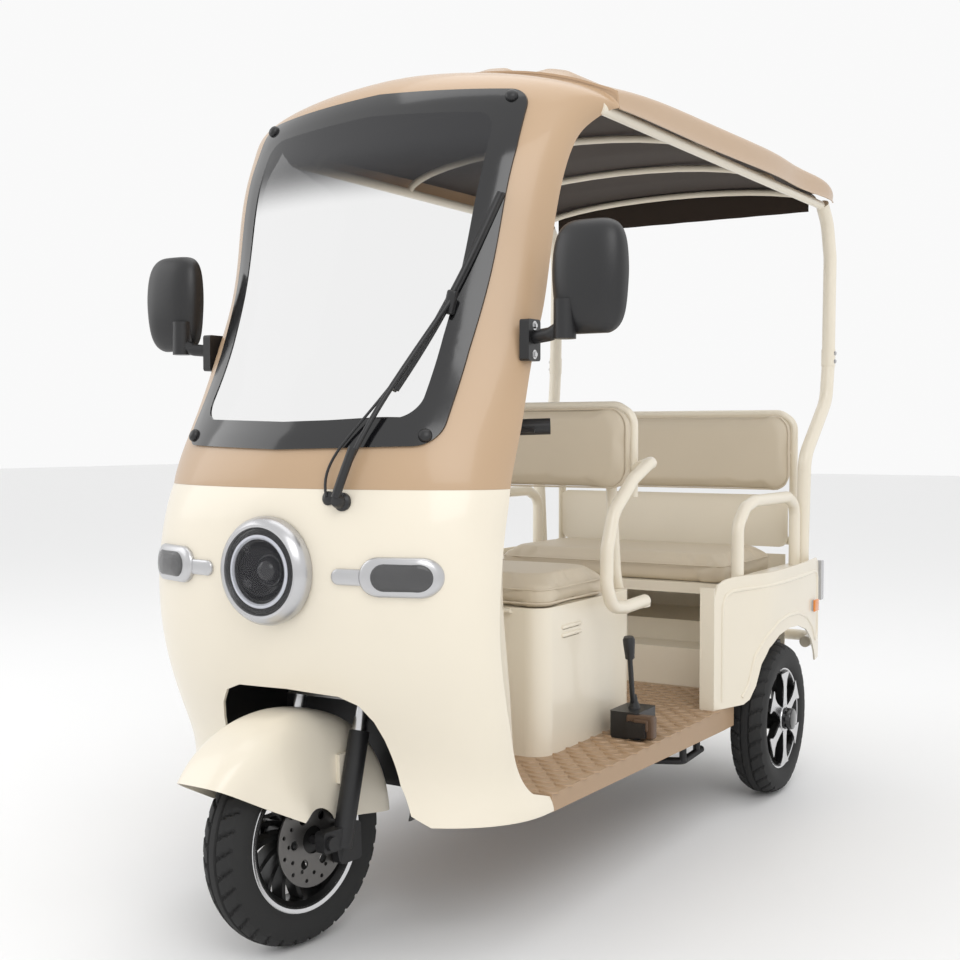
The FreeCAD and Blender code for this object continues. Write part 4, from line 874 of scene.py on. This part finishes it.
def padded_block(name, node, corner, edge, cap, face_axis, keep):
    """A seat pad: rounded block, remeshed, blown up a little as cloth, with its resting side kept flat."""
    low, high = (Vector(v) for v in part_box(node))
    if node == "driver_cushion":
        low.z = at(0, 0, CUSHION_REST).z
    inset = Vector((PAD_INSET,) * 3)
    low_in, high_in = low + inset, high - inset
    centre, size = (low_in + high_in) / 2, high_in - low_in
    fresh()
    bpy.ops.mesh.primitive_cube_add(size=1.0)
    obj = bpy.context.object
    obj.name = name
    obj.data.transform(Matrix.Translation(centre) @ Matrix.Diagonal((*size, 1.0)))
    work = bmesh.new()
    work.from_mesh(obj.data)
    tall = [e for e in work.edges
            if abs((e.verts[0].co - e.verts[1].co)[face_axis]) > 0.5 * size[face_axis]]
    bmesh.ops.bevel(work, geom=tall, offset=corner, segments=8, affect="EDGES", profile=0.5)
    sharp = [e for e in work.edges if e.is_manifold and e.calc_face_angle(0) > 0.9]
    bmesh.ops.bevel(work, geom=sharp, offset=edge, segments=4, affect="EDGES", profile=0.5)
    work.to_mesh(obj.data)
    work.free()
    modifier(obj, "REMESH", mode="VOXEL", voxel_size=PAD_VOXEL)
    starts = [v.co.copy() for v in obj.data.vertices]
    pick(obj)
    cloth = obj.modifiers.new("cloth", "CLOTH")
    cloth.settings.use_pressure = True
    cloth.settings.uniform_pressure_force = 4.0
    cloth.settings.quality = 5
    cloth.settings.tension_stiffness = 30
    cloth.settings.compression_stiffness = 30
    cloth.settings.effector_weights.gravity = 0.0
    cloth.point_cache.frame_start = 1
    cloth.point_cache.frame_end = CLOTH_FRAMES
    for step in range(1, CLOTH_FRAMES + 1):
        bpy.context.scene.frame_set(step)
    pick(obj)
    bpy.ops.object.modifier_apply(modifier=cloth.name)
    bpy.context.scene.frame_set(1)
    limit_move(obj, starts, cap)
    for vertex in obj.data.vertices:
        if keep > 0:
            vertex.co[face_axis] = min(vertex.co[face_axis], high[face_axis])
        else:
            vertex.co[face_axis] = max(vertex.co[face_axis], low[face_axis] + 0.0005)
    modifier(obj, "SMOOTH", factor=0.5, iterations=6)
    modifier(obj, "SUBSURF", levels=1, render_levels=1)
    finish_piece(obj, "vinyl", "seat_lid" if node == "driver_cushion" else "body", 60)
    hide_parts(node)
    return obj, low, high


def piping(name, pad, low, high, corner, face_axis, level, body):
    """A sewn bead round a pad at one level, laid on its surface."""
    centre = (low + high) / 2
    size = high - low
    flat_axes = [a for a in range(3) if a != face_axis]
    path = []
    for u, v in outline_arc(size[flat_axes[0]] / 2, size[flat_axes[1]] / 2, corner, 10):
        point = centre.copy()
        point[flat_axes[0]] += u * 1.05
        point[flat_axes[1]] += v * 1.05
        point[face_axis] = level
        _, where, _, _ = pad.closest_point_on_mesh(point)
        where[face_axis] = level
        path.append(where)
    bead = tube(path, PIPING_RADIUS, smooth=False, cyclic=True, sides=2)
    bead.name = name
    finish_piece(bead, "vinyl", body, 60)
    return bead


class TRIKE_OT_seats(bpy.types.Operator):
    """Make the padded seats and backrests with their piping"""
    bl_idname = "trike.seats"
    bl_label = "Make seats"

    def execute(self, context):
        pad, low, high = padded_block("driver_seat_pad", "driver_cushion", 0.05, 0.014, 0.022, 2, -1)
        piping("driver_seat_piping", pad, low, high, 0.05, 2, high.z - 0.014, "seat_lid")
        piping("driver_seat_lower_piping", pad, low, high, 0.05, 2, low.z + 0.010, "seat_lid")
        pad, low, high = padded_block("bench_seat_pad", "bench_cushion", 0.03, 0.014, 0.022, 2, -1)
        piping("bench_seat_piping", pad, low, high, 0.03, 2, high.z - 0.014, "body")
        pad, low, high = padded_block("driver_back_pad", "driver_backrest", 0.055, 0.012, 0.012, 1, 1)
        piping("driver_back_piping", pad, low, high, 0.055, 1, low.y + 0.010, "body")
        pad, low, high = padded_block("bench_back_pad", "bench_backrest", 0.055, 0.012, 0.012, 1, 1)
        piping("bench_back_piping", pad, low, high, 0.055, 1, low.y + 0.010, "body")
        return {"FINISHED"}


class TRIKE_OT_liner(bpy.types.Operator):
    """Make the roof lining, a sheet stretched over the bows, and a dark sheet in the lining colour across its
    rear end, which is painted shade under the roof's rear band
    """
    bl_idname = "trike.liner"
    bl_label = "Make roof lining"

    def execute(self, context):
        stations = (620.0, 1040.0, 1460.0, 1830.0)
        rows = []
        count_y, count_x = 56, 40
        for i in range(count_y + 1):
            y = 470 + (1880 - 470) * i / count_y
            near = min(abs(y - s) for s in stations)
            sag = 5.0 * min(1.0, near / 200.0) ** 1.5
            row = []
            for j in range(count_x + 1):
                turn = math.radians(-90 + 180 * j / count_x)
                crown = roof_height(0, y) - 23.5
                edge = roof_height(440, y) - 34
                x = 434 * math.sin(turn)
                z = crown - (crown - edge) * (1 - math.cos(turn))
                row.append(at(x, y, z - sag * math.cos(turn)))
            rows.append(row)
        lining = grid_object("roof_lining", rows)
        modifier(lining, "SOLIDIFY", thickness=0.0015, offset=0)
        tidy_mesh(lining)
        finish_piece(lining, "lining", "body", 60)
        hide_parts("roof_liner")
        # Painted shade: a dark sheet in the lining colour hung across the rear, standing for the shade under
        # the roof's tan rear band
        shade_rows = []
        for i in range(9):
            row = []
            for j in range(count_x + 1):
                x = -414 + 828 * j / count_x
                top = roof_height(x, 1876) - 26 - 8 * (abs(x) / 414) ** 2
                z = top + (1630 - top) * i / 8
                row.append(at(x, 1876 + 2.0 * math.sin(j * 1.1) * (i / 8), z))
            shade_rows.append(row)
        shade_sheet = grid_object("roof_painted_shade_sheet", shade_rows)
        modifier(shade_sheet, "SOLIDIFY", thickness=0.0015, offset=0)
        tidy_mesh(shade_sheet)
        finish_piece(shade_sheet, "lining", "body", 60)
        return {"FINISHED"}


class TRIKE_OT_body_details(bpy.types.Operator):
    """Make the pressed ribs of the side panels, bolts, reflectors, seat box louvres, seat hinge knuckles and
    the brake lever's finish
    """
    bl_idname = "trike.body_details"
    bl_label = "Make body details"

    def execute(self, context):
        def panel_x(y, z):
            panel = frame["nodes"]["side_panel_left"]
            hit, where, _, _ = panel.ray_cast(at(700, y, z), Vector((-1, 0, 0)))
            if not hit:
                raise RuntimeError(f"no side panel at {y}, {z}")
            return where
        path = [(1186, 300), (1186, 540), (1198, 566), (1225, 578), (1500, 580), (1790, 582), (1812, 566),
                (1816, 500), (1812, 400), (1790, 380), (1740, 430), (1680, 462), (1600, 482), (1515, 486),
                (1430, 476), (1360, 446), (1312, 400), (1288, 330), (1262, 300)]
        dense = []
        for (y0, z0), (y1, z1) in zip(path, path[1:]):
            for k in range(4):
                dense.append((y0 + (y1 - y0) * k / 4, z0 + (z1 - z0) * k / 4))
        dense.append(path[-1])
        bead = tube([panel_x(y, z) + Vector((-0.0015, 0, 0)) for y, z in dense], 0.0055, sides=4)
        bead.name = "side_panel_rib_left"
        other = mirrored(bead)
        other.name = "side_panel_rib_right"
        for piece in (bead, other):
            finish_piece(piece, "cream", "body", 60)
        bolts = []
        for x, y, z in ((474, 1940.3, 1192), (474, 1941, 1216)):
            for side in (-1, 1):
                bolts.append(bolt(at(side * (x + 3.5), y, z), (side, 0, 0), 5.0))
        for side in (-1, 1):
            for z in (1124, 1178):
                bolts.append(bolt(at(side * 403.5, 211, z), (side, 0, 0), 5.5))
        finish_piece(joined("post_and_mirror_bolts", bolts), "bright", "body", 30)
        reflectors = [rounded((5, 42, 34), at(side * 481.5, 1760, 485), 2.0) for side in (-1, 1)]
        finish_piece(joined("side_reflectors", reflectors), "amber", "body", 50)
        hoods = []
        for side in (-1, 1):
            for z in (528, 546):
                hoods.append(rounded((7, 92, 9), at(side * 268.5, 632, z + 6), 3.2))
        finish_piece(joined("seat_box_louvres", hoods), "cream", "body", 60)
        front = rounded((66, 26, 52), at(378, 768, 312), 5, 3)
        plate = rounded((34, 8, 26), at(384, 752, 318), 3, 3)
        finish_piece(joined("parking_brake_front", [front, plate]), "brown_plastic", "body", 50)
        boot = lathe([(0, 0), (15, 0), (13, 8), (9, 20), (7, 34), (0, 36)], at(340, 812, 340),
                     (0, -0.1, 1), 24)
        knob = lathe([(0, 0), (9, 0), (11.5, 12), (13.5, 34), (14, 46), (11, 52), (0, 54)], at(340, 787, 460),
                     (0, -0.14, 1), 32)
        finish_piece(joined("parking_brake_knob", [boot, knob]), "black_plastic", "body", 50)
        knuckles = []
        for side in (-1, 1):
            knuckles.append(lathe([(0, -18), (5, -18), (5, 18), (0, 18)], at(side * 150, 492, 594),
                                  (1, 0, 0), 20))
            knuckles.append(rounded((34, 6, 12), at(side * 150, 492, 600), 1.0, 2))
        finish_piece(joined("seat_hinge_knuckles", knuckles), "black_steel", "seat_lid", 40)
        return {"FINISHED"}


class TRIKE_OT_stage(bpy.types.Operator):
    """Make the pale floor, the backdrop, the lights and the camera"""
    bl_idname = "trike.stage"
    bl_label = "Set the stage"

    def execute(self, context):
        scene = context.scene
        view = scene.trike_view
        bpy.ops.mesh.primitive_plane_add(size=60.0, location=(0, 0, 0))
        floor = context.object
        floor.name = "studio_floor"
        floor.data.materials.append(finish_material("studio floor", (0.86, 0.86, 0.86), 0.6, amount=0.01,
                                                    bump=0.0))
        world = bpy.data.worlds.new("studio")
        scene.world = world
        world.use_nodes = True
        world.node_tree.nodes["Background"].inputs[0].default_value = (1.0, 1.0, 1.0, 1.0)
        world.node_tree.nodes["Background"].inputs[1].default_value = 0.95
        for name, place, size, power in (("key", (3.2, -3.6, 4.2), 3.0, 70.0),
                                         ("fill", (-4.2, -2.4, 3.0), 3.5, 40.0),
                                         ("top", (0.0, 0.5, 5.0), 4.0, 45.0)):
            data = bpy.data.lights.new(name, "AREA")
            data.size = size
            data.energy = power
            lamp = bpy.data.objects.new(name, data)
            scene.collection.objects.link(lamp)
            lamp.location = place
            lamp.rotation_euler = (Vector((0, 0, 0.8)) - Vector(place)).to_track_quat("-Z", "Y").to_euler()
        data = bpy.data.cameras.new("camera")
        data.lens = view.lens
        data.sensor_width = 36.0
        data.clip_start = 0.05
        data.clip_end = 200.0
        camera = bpy.data.objects.new("camera", data)
        scene.collection.objects.link(camera)
        camera.location = view.camera_place
        camera.rotation_euler = view.camera_turn
        scene.camera = camera
        scene.view_settings.view_transform = "Standard"
        return {"FINISHED"}


class TRIKE_PT_panel(bpy.types.Panel):
    """Lists the tricycle's build steps"""
    bl_label = "Tricycle"
    bl_idname = "TRIKE_PT_panel"
    bl_space_type = "VIEW_3D"
    bl_region_type = "UI"
    bl_category = "Tricycle"

    def draw(self, context):
        for step in STEPS:
            self.layout.operator(step.bl_idname)


STEPS = (TRIKE_OT_materials, TRIKE_OT_frame_finish, TRIKE_OT_headlight, TRIKE_OT_signals, TRIKE_OT_screen,
         TRIKE_OT_wiper, TRIKE_OT_roof, TRIKE_OT_floor, TRIKE_OT_tyres, TRIKE_OT_rims, TRIKE_OT_seats,
         TRIKE_OT_liner, TRIKE_OT_body_details, TRIKE_OT_stage)
CLASSES = (TRIKE_PG_finish, TRIKE_PG_view) + STEPS + (TRIKE_PT_panel,)


def register():
    for cls in CLASSES:
        bpy.utils.register_class(cls)
    bpy.types.Scene.trike_finish = bpy.props.PointerProperty(type=TRIKE_PG_finish)
    bpy.types.Scene.trike_view = bpy.props.PointerProperty(type=TRIKE_PG_view)


def unregister():
    del bpy.types.Scene.trike_view
    del bpy.types.Scene.trike_finish
    for cls in reversed(CLASSES):
        bpy.utils.unregister_class(cls)


def main():
    register()
    for step in STEPS:
        area, name = step.bl_idname.split(".")
        getattr(getattr(bpy.ops, area), name)()


if __name__ == "__main__":
    main()
